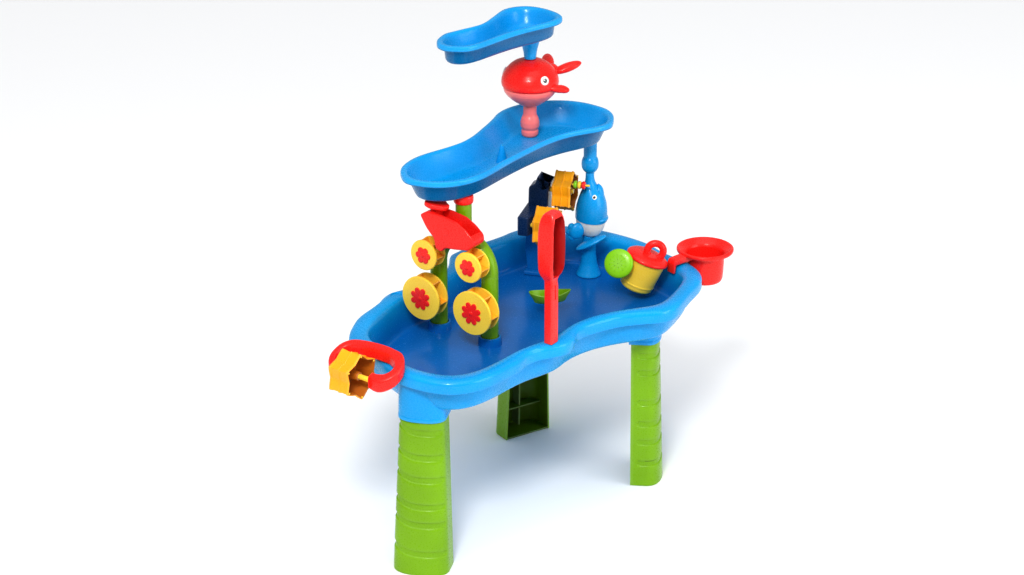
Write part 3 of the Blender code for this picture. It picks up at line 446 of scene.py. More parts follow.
def sweep(path, section, closed=False, up=None, sizes=None):
    """Carries a 2D section along a 3D path without twisting it; sizes may scale it point by point."""
    path = [Vector(p) for p in path]
    count = len(path)
    rings = []
    side = None
    for i, here in enumerate(path):
        before = path[i - 1] if closed or i > 0 else here
        after = path[(i + 1) % count] if closed or i < count - 1 else here
        along = (after - before).normalized()
        if up is not None:
            side = Vector(up).cross(along).normalized()
        elif side is None:
            helper = Vector(UP) if abs(along.z) < 0.9 else Vector((1, 0, 0))
            side = helper.cross(along).normalized()
        else:
            side = (side - along * side.dot(along)).normalized()
        other = along.cross(side)
        size = sizes[i] if sizes else 1.0
        rings.append([here + side * x * size + other * y * size for x, y in section])
    return loft(rings, closed)


def circle(radius, count=32):
    return [polar(360 * i / count, radius) for i in range(count)]


def placed(name, data):
    """A new object holding the data, linked to the scene."""
    obj = bpy.data.objects.new(name, data)
    bpy.context.scene.collection.objects.link(obj)
    return obj


def piece(name, shape, body, look, slot, nodes=(), matrix=None, sharp=32, second=None, pick=None):
    """One visible piece. A second look goes on the faces that pick accepts, in local millimetres."""
    points, faces = shape
    matrix = matrix or Matrix.Identity(4)
    mesh = bpy.data.meshes.new(name)
    mesh.from_pydata([tuple(Vector(p)) for p in points], [], faces)
    work = bmesh.new()
    work.from_mesh(mesh)
    bmesh.ops.remove_doubles(work, verts=work.verts, dist=1e-4)
    bmesh.ops.recalc_face_normals(work, faces=work.faces)
    if pick:
        for face in work.faces:
            if pick(face.calc_center_median(), face.normal):
                face.material_index = 1
    bmesh.ops.transform(work, matrix=matrix, verts=work.verts)
    for vertex in work.verts:
        vertex.co = (vertex.co + SHIFT) * MM
    work.to_mesh(mesh)
    work.free()
    for face in mesh.polygons:
        face.use_smooth = True
    if sharp:
        mesh.set_sharp_from_angle(angle=math.radians(sharp))
    obj = placed(name, mesh)
    mesh.materials.append(LOOKS[look])
    if second:
        mesh.materials.append(LOOKS[second])
    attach(obj, body)
    if nodes:
        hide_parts(*nodes)
    return obj


def still(name, shape, look, nodes=(), matrix=None, **rest):
    """A piece that stays with the table."""
    return piece(name, shape, "table", look, look, nodes, matrix, **rest)


def merged(*shapes):
    """Several closed shapes as one; each is (shape, matrix) or a plain shape."""
    points = []
    faces = []
    for item in shapes:
        shape, matrix = item if isinstance(item[1], Matrix) else (item, Matrix.Identity(4))
        base = len(points)
        points.extend(matrix @ Vector(p) for p in shape[0])
        faces.extend(tuple(base + i for i in face) for face in shape[1])
    return points, faces


def fuse(obj, voxel=1.2, rounds=6):
    """Melts a piece's overlapping shapes into one skin."""
    melt = obj.modifiers.new("melt", "REMESH")
    melt.mode = "VOXEL"
    melt.voxel_size = voxel * MM
    melt.use_smooth_shade = True
    ease = obj.modifiers.new("ease", "SMOOTH")
    ease.factor = 0.5
    ease.iterations = rounds


def settled(obj):
    """Applies a piece's modifiers for good."""
    bpy.context.view_layer.update()
    result = bpy.data.meshes.new_from_object(obj.evaluated_get(bpy.context.evaluated_depsgraph_get()))
    obj.modifiers.clear()
    obj.data = result


def carve(obj, *cutters):
    """Cuts closed shapes, each (shape, matrix), out of a piece for good."""
    for shape, matrix in cutters:
        mesh = bpy.data.meshes.new("cutter")
        mesh.from_pydata([tuple((matrix @ Vector(p) + SHIFT) * MM) for p in shape[0]], [], shape[1])
        work = bmesh.new()
        work.from_mesh(mesh)
        bmesh.ops.remove_doubles(work, verts=work.verts, dist=1e-7)
        bmesh.ops.recalc_face_normals(work, faces=work.faces)
        work.to_mesh(mesh)
        work.free()
        tool = placed("cutter", mesh)
        step = obj.modifiers.new("cut", "BOOLEAN")
        step.operation = "DIFFERENCE"
        step.solver = "EXACT"
        step.object = tool
        settled(obj)
        bpy.data.objects.remove(tool, do_unlink=True)
    return obj


def resharpen(obj, angle=32):
    for face in obj.data.polygons:
        face.use_smooth = True
    obj.data.set_sharp_from_angle(angle=math.radians(angle))
    return obj


# ---- basin ----

RIM = smooth_loop(RIM_OUTLINE, 76)


def finer(loop, times=4):
    return smooth_path(loop, times, True)


def leg_section(size, start, count=41):
    """The D outline of a leg: straight arms from the open side, then a round nose, as (across, out)."""
    width, depth = size
    half = width / 2
    arm = [start + (LEG_ARM - start) * share for share in (0, 0.25, 0.42, 0.5, 0.58, 0.7, 0.85)]
    points = [(-half, out) for out in arm]
    for i in range(count):
        a = math.pi * (1 - i / (count - 1))
        c = math.cos(a)
        across = half * math.copysign(abs(c) ** 0.85, c)
        points.append((across, LEG_ARM + (depth - LEG_ARM) * abs(math.sin(a)) ** 0.85))
    points.extend((half, out) for out in reversed(arm))
    return points


def leg_spot(name, across, out, share):
    """Plan position on a leg: across its open side, out towards its nose, at a share of its lean."""
    centre, nose, lean = LEGS[name][:3]
    n = Vector(nose).normalized()
    side = Vector((-n.y, n.x))
    return Vector(centre) - n * lean * share + side * -across + n * out


def leg_ring(name, size, start, z):
    return at_height([leg_spot(name, a, o, 1.0) for a, o in leg_section(size, start)], z)


def fluted(loop, z):
    """Swells the outer wall of the bowl in and out between its floor and the skirt."""
    depth = FLUTE_DEPTH * max(0.0, 1 - abs(z - 324) / 20)
    count = len(loop)
    made = []
    for i, point in enumerate(loop):
        along = (loop[(i + 1) % count] - loop[i - 1]).normalized()
        wave = abs(math.sin(math.pi * FLUTES * i / count)) * 2 - 1.2
        made.append(point + Vector((along.y, -along.x)) * depth * wave)
    return made


rings = []
for i, (d, z) in enumerate(BASIN_PROFILE):
    loop = finer(inset(RIM, d))
    rings.append(at_height(fluted(loop, z) if i < 12 else loop, z))
# Upward faces inside the basin take the look with painted shade low down.
basin = still("basin_shell", loft(rings), "blue", ["basin"], second="pool",
              pick=lambda centre, normal: normal.z > 0.1 and centre.z < POOL_TOP)
slot_hole = [(-6.4, -6.4), (6.4, -6.4), (6.4, 6.4), (-6.4, 6.4)]
shovel_frame = frame_at((*SHOVEL_SPOT, 0), UP, SHOVEL_OPEN)
piece("shovel_boss", slab(fillet([(x * 1.6, y * 1.6) for x, y in slot_hole], 2), 346.5, 364.5),
      "table", "pool", "blue", (), shovel_frame)
carve(basin, (slab(fillet(slot_hole, 0.8, 2), 352, 380, 0.2), shovel_frame),
      (turned([(0, 380), (12.5, 380), (12.5, 367.6), (10.5, 365.8), (10.5, 365.3), (0, 365.3)], 40),
       frame_at((-181, 99, 0))))
resharpen(basin)

basin_hollow = loft([at_height(finer(inset(RIM, d)), z) for d, z in [(22, 380), (22, 367)] + [
    (d - 0.8, z - 0.8) for d, z in BASIN_PROFILE[-9:]]])
for name in LEGS:
    shape = []
    for grow, z in ((-9.3, 276.3), (-0.5, 276.3), (0.3, 277.2), (0.3, 283.0), (-0.3, 284.0), (0, 286.0),
                    (-1.0, 322), (-2.0, 344.0), (-3.5, 345.0)):
        shape.append(leg_ring(name, (COLLAR[0] + 2 * grow, COLLAR[1] + grow), -4.0, z))
    collar = still("collar_" + name, loft(shape), "blue")
    resharpen(carve(collar, (basin_hollow, Matrix.Identity(4))))
for label, side in (("right", ARCH_HALF), ("left", -ARCH_HALF)):
    spot = ARCH_CENTRE + ARCH_SIDE * side
    piece("arch_socket_" + label, soft_turned([(16, 324), (19.5, 324), (21.5, 305.6), (16, 305.6)]),
          "table", "pool", "blue", (), frame_at((*spot, 0)))

piece("drain_plug_cap", soft_turned([
    (0, 307.5), (7.5, 307.5), (8.6, 304), (8.6, 302.7), (13, 302.7), (13, 298.5), (5, 298.5),
    (5, 291), (0, 291)], 0.6), "plug", "blue", "blue", ["drain_plug"], frame_at((-190, -150, 0)))


# ---- legs ----

def leg_levels(bands):
    """Ring heights up a leg: close together at the edges of each recessed band, wide apart elsewhere."""
    levels = [0.0, 0.6, 1.8, 266.0, 269.0]
    for share in bands:
        middle = LEG_HEIGHT * (1 - share)
        levels.extend(middle + step for step in (-6.6, -5.9, -5.2, -4.4, -2.5, 0.0, 2.5, 4.4, 5.2, 5.6, 6.2))
    made = []
    for level in sorted(levels):
        while made and level - made[-1] > 9:
            made.append(made[-1] + 7)
        made.append(level)
    return made


def band_depth(z, bands, across, out):
    """How far the moulded bands sink in; each one has round ends and stops short of the open side."""
    reach = out - (12.0 if across > 0 else 37.0)
    if reach <= 0:
        return 0.0
    half = BAND_HALF * math.sqrt(1 - (1 - min(1.0, reach / 5.0)) ** 2)
    depth = 0.0
    for share in bands:
        off = z - LEG_HEIGHT * (1 - share)
        slope = 0.8 if off > 0 else 1.6
        depth = max(depth, min(1.0, (half - abs(off)) / slope))
    return BAND_DEPTH * max(depth, 0.0)


def leg_shell(name):
    rise, bands = LEGS[name][3:]
    rings = []

    def spot(across, out, half, z):
        lift = rise * max(0.0, across / half) ** 2 * min(1.0, z / 40, (LEG_HEIGHT - z) / 14)
        return (*leg_spot(name, across, out, z / LEG_HEIGHT), z + lift)

    for z in leg_levels(bands):
        share = z / LEG_HEIGHT
        width = LEG_FOOT[0] + (LEG_TOP[0] - LEG_FOOT[0]) * share
        depth = LEG_FOOT[1] + (LEG_TOP[1] - LEG_FOOT[1]) * share
        trim = 0.8 if z == 0 else (0.2 if z < 1 else 0.0)
        ring = []
        for k, (a, o) in enumerate(leg_section((width, depth), 0)):
            pull = band_depth(z, bands, a, o) + trim
            ring.append(spot(*leg_section((width - 2 * pull, depth - pull), 0)[k], width / 2, z))
        inner = leg_section((width - 2 * LEG_WALL, depth - LEG_WALL), 0)
        ring.extend(spot(a, o, width / 2 - LEG_WALL, z) for a, o in reversed(inner))
        rings.append(ring)
    for outer_z, size, inner_z in ((275.0, LEG_TOP, 273), (276.0, (LEG_TOP[0] - 1.5, LEG_TOP[1] - 0.8), 274),
                                   (276.0, TENON, 278), (293.6, TENON, 293.6)):
        ring = [(*leg_spot(name, a, o, 1.0), outer_z) for a, o in leg_section(size, 0.3)]
        inner = leg_section((TENON[0] - 2 * LEG_WALL, TENON[1] - LEG_WALL), 0.3)
        ring.extend((*leg_spot(name, a, o, 1.0), inner_z) for a, o in reversed(inner))
        rings.append(ring)
    return loft(rings)


for name in LEGS:
    spine = []
    for z, share, reach in ((8, 0.03, 53.2), (262, 0.95, 46.8)):
        plan = [leg_spot(name, a, o, share) for a, o in ((-1.5, 30), (-1.5, reach), (1.5, reach), (1.5, 30))]
        spine.append(at_height(plan, z))
    ribs = [loft(spine)]
    for z, start in ((1.7, 1.0), (48.0, 26.0)):
        share = z / LEG_HEIGHT
        width = LEG_FOOT[0] + (LEG_TOP[0] - LEG_FOOT[0]) * share - 2 * LEG_WALL + 2
        depth = LEG_FOOT[1] + (LEG_TOP[1] - LEG_FOOT[1]) * share - LEG_WALL + 1
        shelf = [leg_spot(name, a, o, share) for a, o in leg_section((width, depth), start)]
        ribs.append(slab(shelf, z - 1.5, z + 1.5, 0.5))

    def inner(centre, normal, name=name):
        """The faces that look towards the middle of the leg's open side."""
        axis = leg_spot(name, 0, 20, centre.z / LEG_HEIGHT)
        return (centre.xy - axis).dot(normal.xy) < -2

    # Painted shade: the faces inside the leg and its ribs take a dark green.
    still(name + "_shell", leg_shell(name), "green", [name], second="painted_shade_green", pick=inner)
    piece(name + "_ribs", merged(*ribs), "table", "painted_shade_green", "green")


# ---- arch and wheels ----

def arch_point(side, out=0.0):
    spot = ARCH_CENTRE + ARCH_SIDE * side + ARCH_OUT * out
    return (spot.x, spot.y)


OUT3 = (ARCH_OUT.x, ARCH_OUT.y, 0.0)
for label, side in (("right", ARCH_HALF), ("left", -ARCH_HALF)):
    still("arch_foot_" + label, soft_turned([(0, LIMB_TOP), (ARCH_TUBE, LIMB_TOP), (ARCH_TUBE, 311.3),
                                             (0, 311.3)], 1.0),
          "green", ["arch_limb_" + label], frame_at((*arch_point(side), 0)))
path = [(*arch_point(ARCH_HALF), LIMB_TOP + 0.3)]
for i in range(49):
    a = math.pi * i / 48
    path.append((*arch_point(ARCH_HALF * math.cos(a)), CROWN_Z + ARCH_HALF * math.sin(a)))
path.append((*arch_point(-ARCH_HALF), LIMB_TOP + 0.3))
crown = sweep(path, circle(ARCH_TUBE, 40))
post = soft_turned([(0, 573.5), (9, 573.5), (9, POST_TOP), (14, POST_TOP), (14, 490), (0, 490)], 1.0)
still("arch_hoop", crown, "green", ["arch_crown"])
still("arch_post", merged((post, frame_at((*ARCH_CENTRE, 0)))), "green")
still("post_ring", soft_turned([
    (16, 574.7), (17.2, 571), (17.2, 563.5), (16, 559.8), (9.4, 559.8), (9.4, 574.7)], 1.2),
      "red", ["post_collar"], frame_at((*ARCH_CENTRE, 0)))


def petals(radius, lobes, depth, count=192):
    """Round petals with narrow gaps between them."""
    points = []
    for i in range(count):
        swell = abs(math.sin(math.pi * lobes * i / count)) ** 0.45
        points.append(polar(360 * i / count, radius * (1 - depth + depth * swell)))
    return points


def flower_wheel(label, prefix, side, size, body):
    radius, z = size
    here = frame_at((*arch_point(side, WHEEL_REACH), z), OUT3, UP)
    hub = radius * 0.3
    back = -WHEEL_WIDTH
    front = soft_turned([
        (0, 0), (radius - 0.8, 0), (radius, -1.6), (radius, -4.5), (hub, -4.5), (0, -4.5)], 0.8)
    rear = soft_turned([
        (3.6, back + 3.2), (radius * 0.965, back + 3.2), (radius * 0.97, back), (3.6, back)], 0.7)
    core = soft_turned([(3.6, -4.0), (hub, -4.0), (hub, back + 3), (3.6, back + 3)], 0.5)
    piece(prefix + "_disc_front_" + label, front, body, "yellow", "yellow",
          [prefix + "_wheel_" + label], here)
    piece(prefix + "_disc_rear_" + label, merged(rear, core), body, "yellow", "yellow", (), here)
    blades = []
    root, end = hub * 0.85, radius * 0.955
    blade = slab([(root, -4.2), (end, -4.2), (end, back + 2.8), (root, back + 2.8)], -1.1, 1.1, 0.4)
    for i in range(6):
        blades.append((blade, spin("Z", 60 * i + 22) @ spin("X", 90)))
    piece(prefix + "_paddles_" + label, merged(*blades), body, "amber", "yellow", (), here)
    badge = radius * (0.52 if radius > 30 else 0.56)
    flower = slab(petals(badge, 8, 0.5) if radius > 30 else petals(badge, 6, 0.38), -0.7, 1.8, 0.7)
    heart = ball((badge * 0.22, badge * 0.22, 1.6), 12, 28)
    piece(prefix + "_badge_" + label, merged(flower, (heart, move(0, 0, 1.3))), body, "red", "red",
          [prefix + "_flower_" + label], here)
    pin = soft_turned([(0, -6.3), (3, -6.3), (3, -WHEEL_REACH + 4), (0, -WHEEL_REACH + 4)], 0.4, 32)
    still(prefix + "_axle_" + label, pin, "green", [prefix + "_pin_" + label], here)


CROWN_SIDE = math.sqrt(ARCH_HALF ** 2 - (UPPER_WHEEL[1] - CROWN_Z) ** 2)
for label, sign in (("right", 1), ("left", -1)):
    flower_wheel(label, "lower", sign * ARCH_HALF, LOWER_WHEEL, "wheel_lower_" + label)
    flower_wheel(label, "upper", sign * CROWN_SIDE, UPPER_WHEEL, "wheel_upper_" + label)


# ---- tipping bucket ----

TIP_P, TIP_Z = TIPPER_PIVOT
TIP_HERE = frame_at((*arch_point(TIP_P, TIPPER_REACH), TIP_Z), OUT3, (ARCH_SIDE.x, ARCH_SIDE.y, 0))
TIP_UP = (TIP_HERE.to_3x3() @ Vector((0, 1, 0))).z


def tip(points):
    return [(p - TIP_P, (z - TIP_Z) * TIP_UP) for p, z in points]


TIP_BODY = [
    (-38, 552), (-6, 551), (24, 546), (44, 535), (59, 522), (60, 510), (50, 500), (20, 495),
    (0, 493), (-8, 484), (-20, 487), (-24, 506), (-40, 522), (-53, 543),
]
TIP_POCKET = [
    (-26, 575), (-25, 538), (-17, 512), (-4, 500), (22, 499), (46, 504), (54, 514), (52, 575),
]
half = TIPPER_WIDTH / 2
tipper = piece("tipper_tub", slab(fillet(tip(TIP_BODY), 4.5), -half, half, 2.2, 5), "tipper", "red", "red",
               ["tipper_bucket"], TIP_HERE)
carve(tipper, (slab(fillet(tip(TIP_POCKET), 5), -half + 3, half - 3, 0.6), TIP_HERE))
resharpen(tipper)
FLUKES = [
    (-47, -6), (-42, -16), (-28, -18), (-14, -10), (-6, -7), (-6, 7), (-14, 12), (-28, 22), (-42, 20),
    (-47, 8),
]
TAIL_STEM = [(-41.3, 540.7), (-37.2, 558.9), (-24.4, 559.3), (-30.1, 541.2)]
FLUKE_HERE = frame_at((*arch_point(0, TIPPER_REACH), 558),
                      (0.22 * ARCH_SIDE.x, 0.22 * ARCH_SIDE.y, 1), (ARCH_SIDE.x, ARCH_SIDE.y, 0))
piece("tipper_flukes", slab(fillet([(x, -y) for x, y in FLUKES], 5), -4.5, 4.5, 2.6, 5),
      "tipper", "red", "red", (), FLUKE_HERE)
piece("tipper_stem", slab(fillet(tip(TAIL_STEM), 2), -5.3, 5.3, 1.5, 4),
      "tipper", "red", "red", (), TIP_HERE)
hub = soft_turned([(0, half + 0.8), (7, half + 0.8), (7, -half - 0.4), (0, -half - 0.4)], 0.8, 40)
piece("tipper_hub", hub, "tipper", "red", "red", (), TIP_HERE)
pin = soft_turned([(0, half - 5), (3, half - 5), (3, -TIPPER_REACH + 5), (0, -TIPPER_REACH + 5)], 0.3, 32)
still("tipper_axle", pin, "green", ["tipper_pin"], TIP_HERE)


# ---- trays ----

def deck(x, y):
    c = math.cos(DECK_ANGLE)
    s = math.sin(DECK_ANGLE)
    return (DECK_ORIGIN[0] + x * c - y * s, DECK_ORIGIN[1] + x * s + y * c)


def tray(outline, rim, bottom, count, edge):
    """A shallow lobed dish: sloping bowl, a band under a rolled rim, and a soft floor."""
    loop = smooth_loop([deck(x, y) for x, y in outline], count)
    profile = [
        (edge + 8, bottom + 1.2), (edge + 3, bottom), (edge - 1.5, bottom + 0.4), (edge - 4, bottom + 2.4),
        (edge - 6, bottom + 6), (10, rim - 14), (8.6, rim - 11), (6, rim - 10), (1.6, rim - 10),
        (0.4, rim - 9.4), (0, rim - 8), (0, rim - 3.6), (0.7, rim - 1.4), (2.2, rim - 0.2),
        (4.4, rim + 0.2),
        (6.8, rim - 0.2), (8.6, rim - 1.6), (9.8, rim - 4), (12, rim - 10),
        (edge - 2, bottom + 12), (edge + 2, bottom + 7), (edge + 6, bottom + 5), (edge + 10, bottom + 5),
    ]
    return loft([at_height(finer(inset(loop, d), 5), z) for d, z in profile])


mid = still("mid_tray_dish", tray(MID_OUTLINE, MID_RIM, MID_BOTTOM, 44, 25), "blue", ["mid_tray"])
drips = []
for i in range(5):
    spot = deck(200 + 14 * math.cos(i * TURN / 5), -10 + 14 * math.sin(i * TURN / 5))
    drips.append((turned([(0, 590), (2.5, 590), (2.5, 565), (0, 565)], 20), frame_at((*spot, 0))))
carve(mid, (turned([(0, 620), (7, 620), (7, 500), (0, 500)], 36), frame_at((*TOWER, 0))), *drips)
resharpen(mid)


def darken_sides(dish, rim):
    """Gives the faces under the rolled rim that look outward or down a darker blue, as painted shade on the
    tray's sides.
    """
    dish.data.materials.append(LOOKS["shade"])
    for face in dish.data.polygons:
        if face.normal.z < 0.1 and face.center.z / MM < rim - 8.5:
            face.material_index = len(dish.data.materials) - 1


darken_sides(mid, MID_RIM)
still("mid_tray_cone", soft_turned([(0, 612), (3, 611), (11, 579), (0, 579)], 1.4, 48), "blue",
      (), frame_at((*deck(118, 8), 0)))
still("mid_tray_pipe", soft_turned([
    (7, 578), (12, 578), (12, 541), (14, 537.5), (15.3, 533), (15.8, 527), (15.3, 521), (13, 516),
    (9, 511.6),
    (7, 511.6)], 0.9), "blue", (), frame_at((*TOWER, 0)))
high = still("top_tray_dish", tray(TOP_OUTLINE, TOP_RIM, TOP_BOTTOM, 34, 18), "blue", ["top_tray"])
COLUMN_SPOT = (*deck(*COLUMN), 0)
carve(high, (turned([(0, 820), (14, 820), (14, 760), (0, 760)], 48), frame_at(COLUMN_SPOT)))
resharpen(high)
darken_sides(high, TOP_RIM)
still("top_tray_neck", soft_turned([
    (14, 770), (19, 770), (18.4, 765.5), (16.5, 757), (13.8, 747), (11.9, 738), (10.6, WHALE_TOP + 0.6),
    (7, WHALE_TOP + 0.6)], 1.0), "blue", (), frame_at(COLUMN_SPOT))


# ---- red whale ----

DECK_X = (math.cos(DECK_ANGLE), math.sin(DECK_ANGLE), 0.0)
RED_HERE = frame_at(COLUMN_SPOT, UP, (-DECK_X[0], -DECK_X[1], 0))
still("column_bulb", soft_turned([
    (12, 639.6), (12, 624), (12.6, 620), (15.4, 614.5), (17.2, 607), (17, 599), (14.2, 593.4), (15.6, 590),
    (15.4, 584), (13.4, 580.4), (8, 580.4), (8, 639.6)], 1.0), "pink", ["column_stem"], RED_HERE)
still("whale_jaw", soft_turned([
    (0, MOUTH_Z), (48.4, MOUTH_Z), (48.2, 671), (46.4, 665.5), (42, 659.6), (36, 653.6), (28.5, 648),
    (21.5, 643.4),
    (17, 640), (0, 640)], 1.6), "pink", ["red_whale_jaw"], RED_HERE)


def oval(radii, centre, turn=0.0, tilt=0.0):
    return ball(radii), move(*centre) @ spin("Z", turn) @ spin("Y", tilt)


dome = soft_turned([
    (0, WHALE_TOP), (12, 725.4), (20, 723.6), (29, 719.8), (37, 713.9), (43.5, 706.6), (48.4, 698.6),
    (51.2, 690.8),
    (52, 684), (51.2, 678), (49.6, MOUTH_Z + 0.8), (48, MOUTH_Z + 0.4), (0, MOUTH_Z + 0.4)], 1.2, 96)
red_whale = still("whale_dome", merged(
    dome, oval((27, 13, 14.5), (-52, 0, 685), 0, 12),
    oval((28, 12, 8), (-82, 22, 692), -38, 16), oval((28, 12, 8), (-82, -22, 692), 38, 16)),
    "red", ["red_whale_body"], RED_HERE, sharp=0)
fuse(red_whale, 1.3, 4)
for label, sign in (("near", 1), ("far", -1)):
    fin = [oval((r, w, 6.6), (x, sign * y, z), sign * -50, -12)
           for r, w, x, y, z in ((20, 11, -7, 53, 678.5), (14, 11, -15, 60, 677))]
    fuse(still("whale_fin_" + label, merged(*fin), "red", (), RED_HERE, sharp=0), 1.0, 4)


def eye(label, spot, outward, radius, matrix, nodes):
    """A white ring, a dark pupil in it and a small white glint."""
    origin = matrix @ Vector(spot)
    here = frame_at(origin, matrix.to_3x3() @ Vector(outward), UP)
    still(label + "_white", soft_turned([
        (0, 0.7), (radius * 0.6, 0.7), (radius, -0.2), (radius, -4.7), (0, -4.7)], 0.5, 40),
        "white", [nodes + "_white"], here)
    pupil = soft_turned([(0, 1.3), (radius * 0.45, 1.0), (radius * 0.56, 0.3), (radius * 0.56, -2), (0, -2)],
                        0.5, 40)
    still(label + "_pupil", pupil, "black", [nodes + "_pupil"], here)
    glint = ball((radius * 0.17, radius * 0.17, 0.5), 10, 20)
    still(label + "_glint", glint, "white", (), here @ move(radius * 0.2, radius * 0.2, 1.25))


for label, sign in (("near", 1), ("far", -1)):
    x, y = polar(sign * 70, 48.9)
    eye("red_eye_" + label, (x, y, 698), (x, y, 15), 8.2, RED_HERE, "red_eye_" + label)


# ---- whale tower ----

TOWER_HERE = frame_at((*TOWER, 0), UP, (*FACING, 0))
S_SIGN = 1.0 if (TOWER_HERE.to_3x3() @ Vector((0, 1, 0))).dot(Vector((*ASIDE, 0))) > 0 else -1.0


def tower(t, s, z):
    return (t, s * S_SIGN, z)


def oval_ring(back, front, half_width, z, count=72):
    """An egg-shaped level of the whale's head, from its back to its front."""
    middle = (back + front) / 2
    ring = []
    for i in range(count):
        a = TURN * i / count
        ring.append((middle + (front - back) / 2 * math.cos(a), half_width * math.sin(a), z))
    return ring


HEAD_LEVELS = [
    (-25, 32, 29, 405), (-26, 33, 30, 428), (-24, 32, 28.5, 446), (-21, 29.5, 26, 458), (-17, 25, 22, 470),
    (-13, 17, 17.5, 480), (-9.5, 11, 12.5, 490), (-8, 8, 9.5, 500), (-8, 8, 8, 511),
]
MOUTH = move(0, 0, 420.5) @ spin("Y", 6)
BLOCK = [(-90, -60), (90, -60), (90, 60), (-90, 60)]
block = loft([at_height(BLOCK, z) for z in (-70, 0.15)])
head_rings = [oval_ring(*level) for level in smooth_path(HEAD_LEVELS, 4)]
brow = [oval((7.5, 11, 17), (19, 0, 471), 0, -8), oval((3.6, 5.5, 8), (17.2, 0, 482), 0, -12)]
head = still("tower_whale_head", merged(loft(head_rings), *brow, oval((18, 24, 8), (17, 0, 424), 0, 6)),
             "blue", ["blue_whale_body"], TOWER_HERE, sharp=0)
fuse(head, 1.0, 3)
settled(head)
carve(head, (block, TOWER_HERE @ MOUTH))
resharpen(head, 50)

belly_profile = [
    (0, 440), (27, 440), (28.2, 424), (27.4, 414), (24.4, 403.4), (19.4, 394.8), (14.4, 389), (0, 389),
]
belly = still("tower_whale_belly", turned(fillet(belly_profile, 4, 5, False), 72), "white",
              ["blue_whale_belly"], TOWER_HERE @ move(3, 0, 0))
top_block = loft([at_height(BLOCK, z) for z in (-0.15, 70)])
carve(belly, (top_block, TOWER_HERE @ MOUTH))
resharpen(belly)
still("tower_pedestal", soft_turned([
    (13, 388.7), (12, 380), (13, 350), (15.5, 332), (20, 318), (24, 309), (0, 309), (0, 388.7)], 3),
      "blue", ["whale_pedestal"], TOWER_HERE)
still("tower_leaf", merged(oval((31, 13, 6), tower(8, -18, 380), 15 * S_SIGN, -26)),
      "blue", (), TOWER_HERE, sharp=0)
fin_parts = [oval((14, 7.5, 16), tower(-17, -27, 404), 30 * S_SIGN, 20)]
for t, z, r in ((-27, 411, 7), (-30, 401, 7.5), (-26, 391, 7)):
    fin_parts.append(oval((r, 6, r), tower(t, -27, z), 30 * S_SIGN, 0))
fin = still("tower_fin", merged(*fin_parts), "blue", ["blue_whale_flipper"], TOWER_HERE, sharp=0)
fuse(fin, 0.9, 3)
for label, sign in (("near", -1), ("far", 1)):
    x, y, z = tower(13, sign * 19.8, 470)
    eye("blue_eye_" + label, (x, y, z), (5, y, 9), 4.8, TOWER_HERE, "blue_eye_" + label)

TAIL_SIDE = [
    (-110, 309), (-76, 309), (-70, 360), (-73, 440), (-73, 470), (-67, 495), (-76, 482), (-84, 479),
    (-92, 503), (-98, 486), (-109, 480), (-110, 440), (-116, 360),
]
TAIL_HERE = TOWER_HERE @ spin("X", 90)
TAIL_SIGN = (TAIL_HERE.to_3x3() @ Vector((0, 1, 0))).z
tail = slab(fillet([(t, z * TAIL_SIGN) for t, z in TAIL_SIDE], 4), -8, 25, 2.5, 5)
arm = fillet([tower(t, s, 0)[:2] for t, s in ((-112, 0), (-112, -96), (-92, -96), (-82, -70), (-82, 0))], 4)
foot = fillet([tower(t, s, 0)[:2] for t, s in ((-116, -34), (-116, -4), (-66, -4), (-66, -34))], 4)
# Painted shadow: the tail takes the navy look for the shade it lies in.
still("tower_tail_fin", merged((tail, TAIL_HERE), (slab(arm, 412, 448, 2.5, 4), TOWER_HERE),
                               (slab(foot, 309, 316, 1.5, 4), TOWER_HERE)),
      "navy", ["tower_tail"])


def star_ring(radius, valley, z, count=96, sharpness=1.5):
    points = []
    for i in range(count):
        share = abs((i * 6 / count) % 1.0 - 0.5) * 2
        points.append((*polar(360 * i / count, valley + (radius - valley) * share ** sharpness), z))
    return points


def star_wheel(name, node_name, body, matrix, radius, valley, length):
    """A star-shaped drum with rolled lips, a ridge round its middle, a web inside and a hub tube."""
    h = length / 2
    wall = 3.0
    rings = [star_ring(radius - lobe, valley - pit, z) for lobe, pit, z in (
        (2.2, 2.2, -h), (0.6, 0.6, -h + 0.4), (0, 0, -h + 1.6), (0, 0, -h + 4.0), (1.4, 1.4, -h + 5.0),
        (1.6, 1.6, -1.6), (0.2, 0.2, -0.7), (0.2, 0.2, 0.7), (1.6, 1.6, 1.6), (1.4, 1.4, h - 5.0),
        (0, 0, h - 4.0), (0, 0, h - 1.4), (0.8, 0.8, h - 0.3), (1.6, 1.6, h), (2.8, 2.6, h - 0.2),
        (3.4, 3.2, h - 1.4), (3.8, 3.4, -h + wall + 3), (6, 5.5, -h + wall + 0.4), (9, 7, -h + wall))]
    rings += [ring_round(r, z, 96) for r, z in (
        (9.5, -h + wall), (8.2, -h + wall + 1.2), (7.4, h - 6), (6.8, h - 5), (AXLE + 0.4, h - 5),
        (AXLE + 0.4, -h))]

    # Painted shade: the faces inside the drum take the brown orange.
    def inside(centre, normal):
        reach = math.hypot(centre.x, centre.y)
        return centre.z > -h + 1 and (reach < valley - 3.6 or normal.dot((centre.x, centre.y, 0)) < -1)

    wheel = piece(name, loft(rings, True), body, "amber", "orange", [node_name], matrix, 40, "painted_shade_orange", inside)
    dots = []
    stud = soft_turned([(0, 0.7), (1.7, 0.5), (1.7, -1.2), (0, -1.2)], 0.3, 16)
    for i in range(6):
        x, y = polar(60 * i, radius - 4.4)
        dots.append((stud, move(x, y, h - 0.2)))
    piece(name + "_studs", merged(*dots), body, "yellow", "orange", (), matrix)
    return wheel


def star_frame(spot, axis):
    return frame_at(spot, axis, UP)


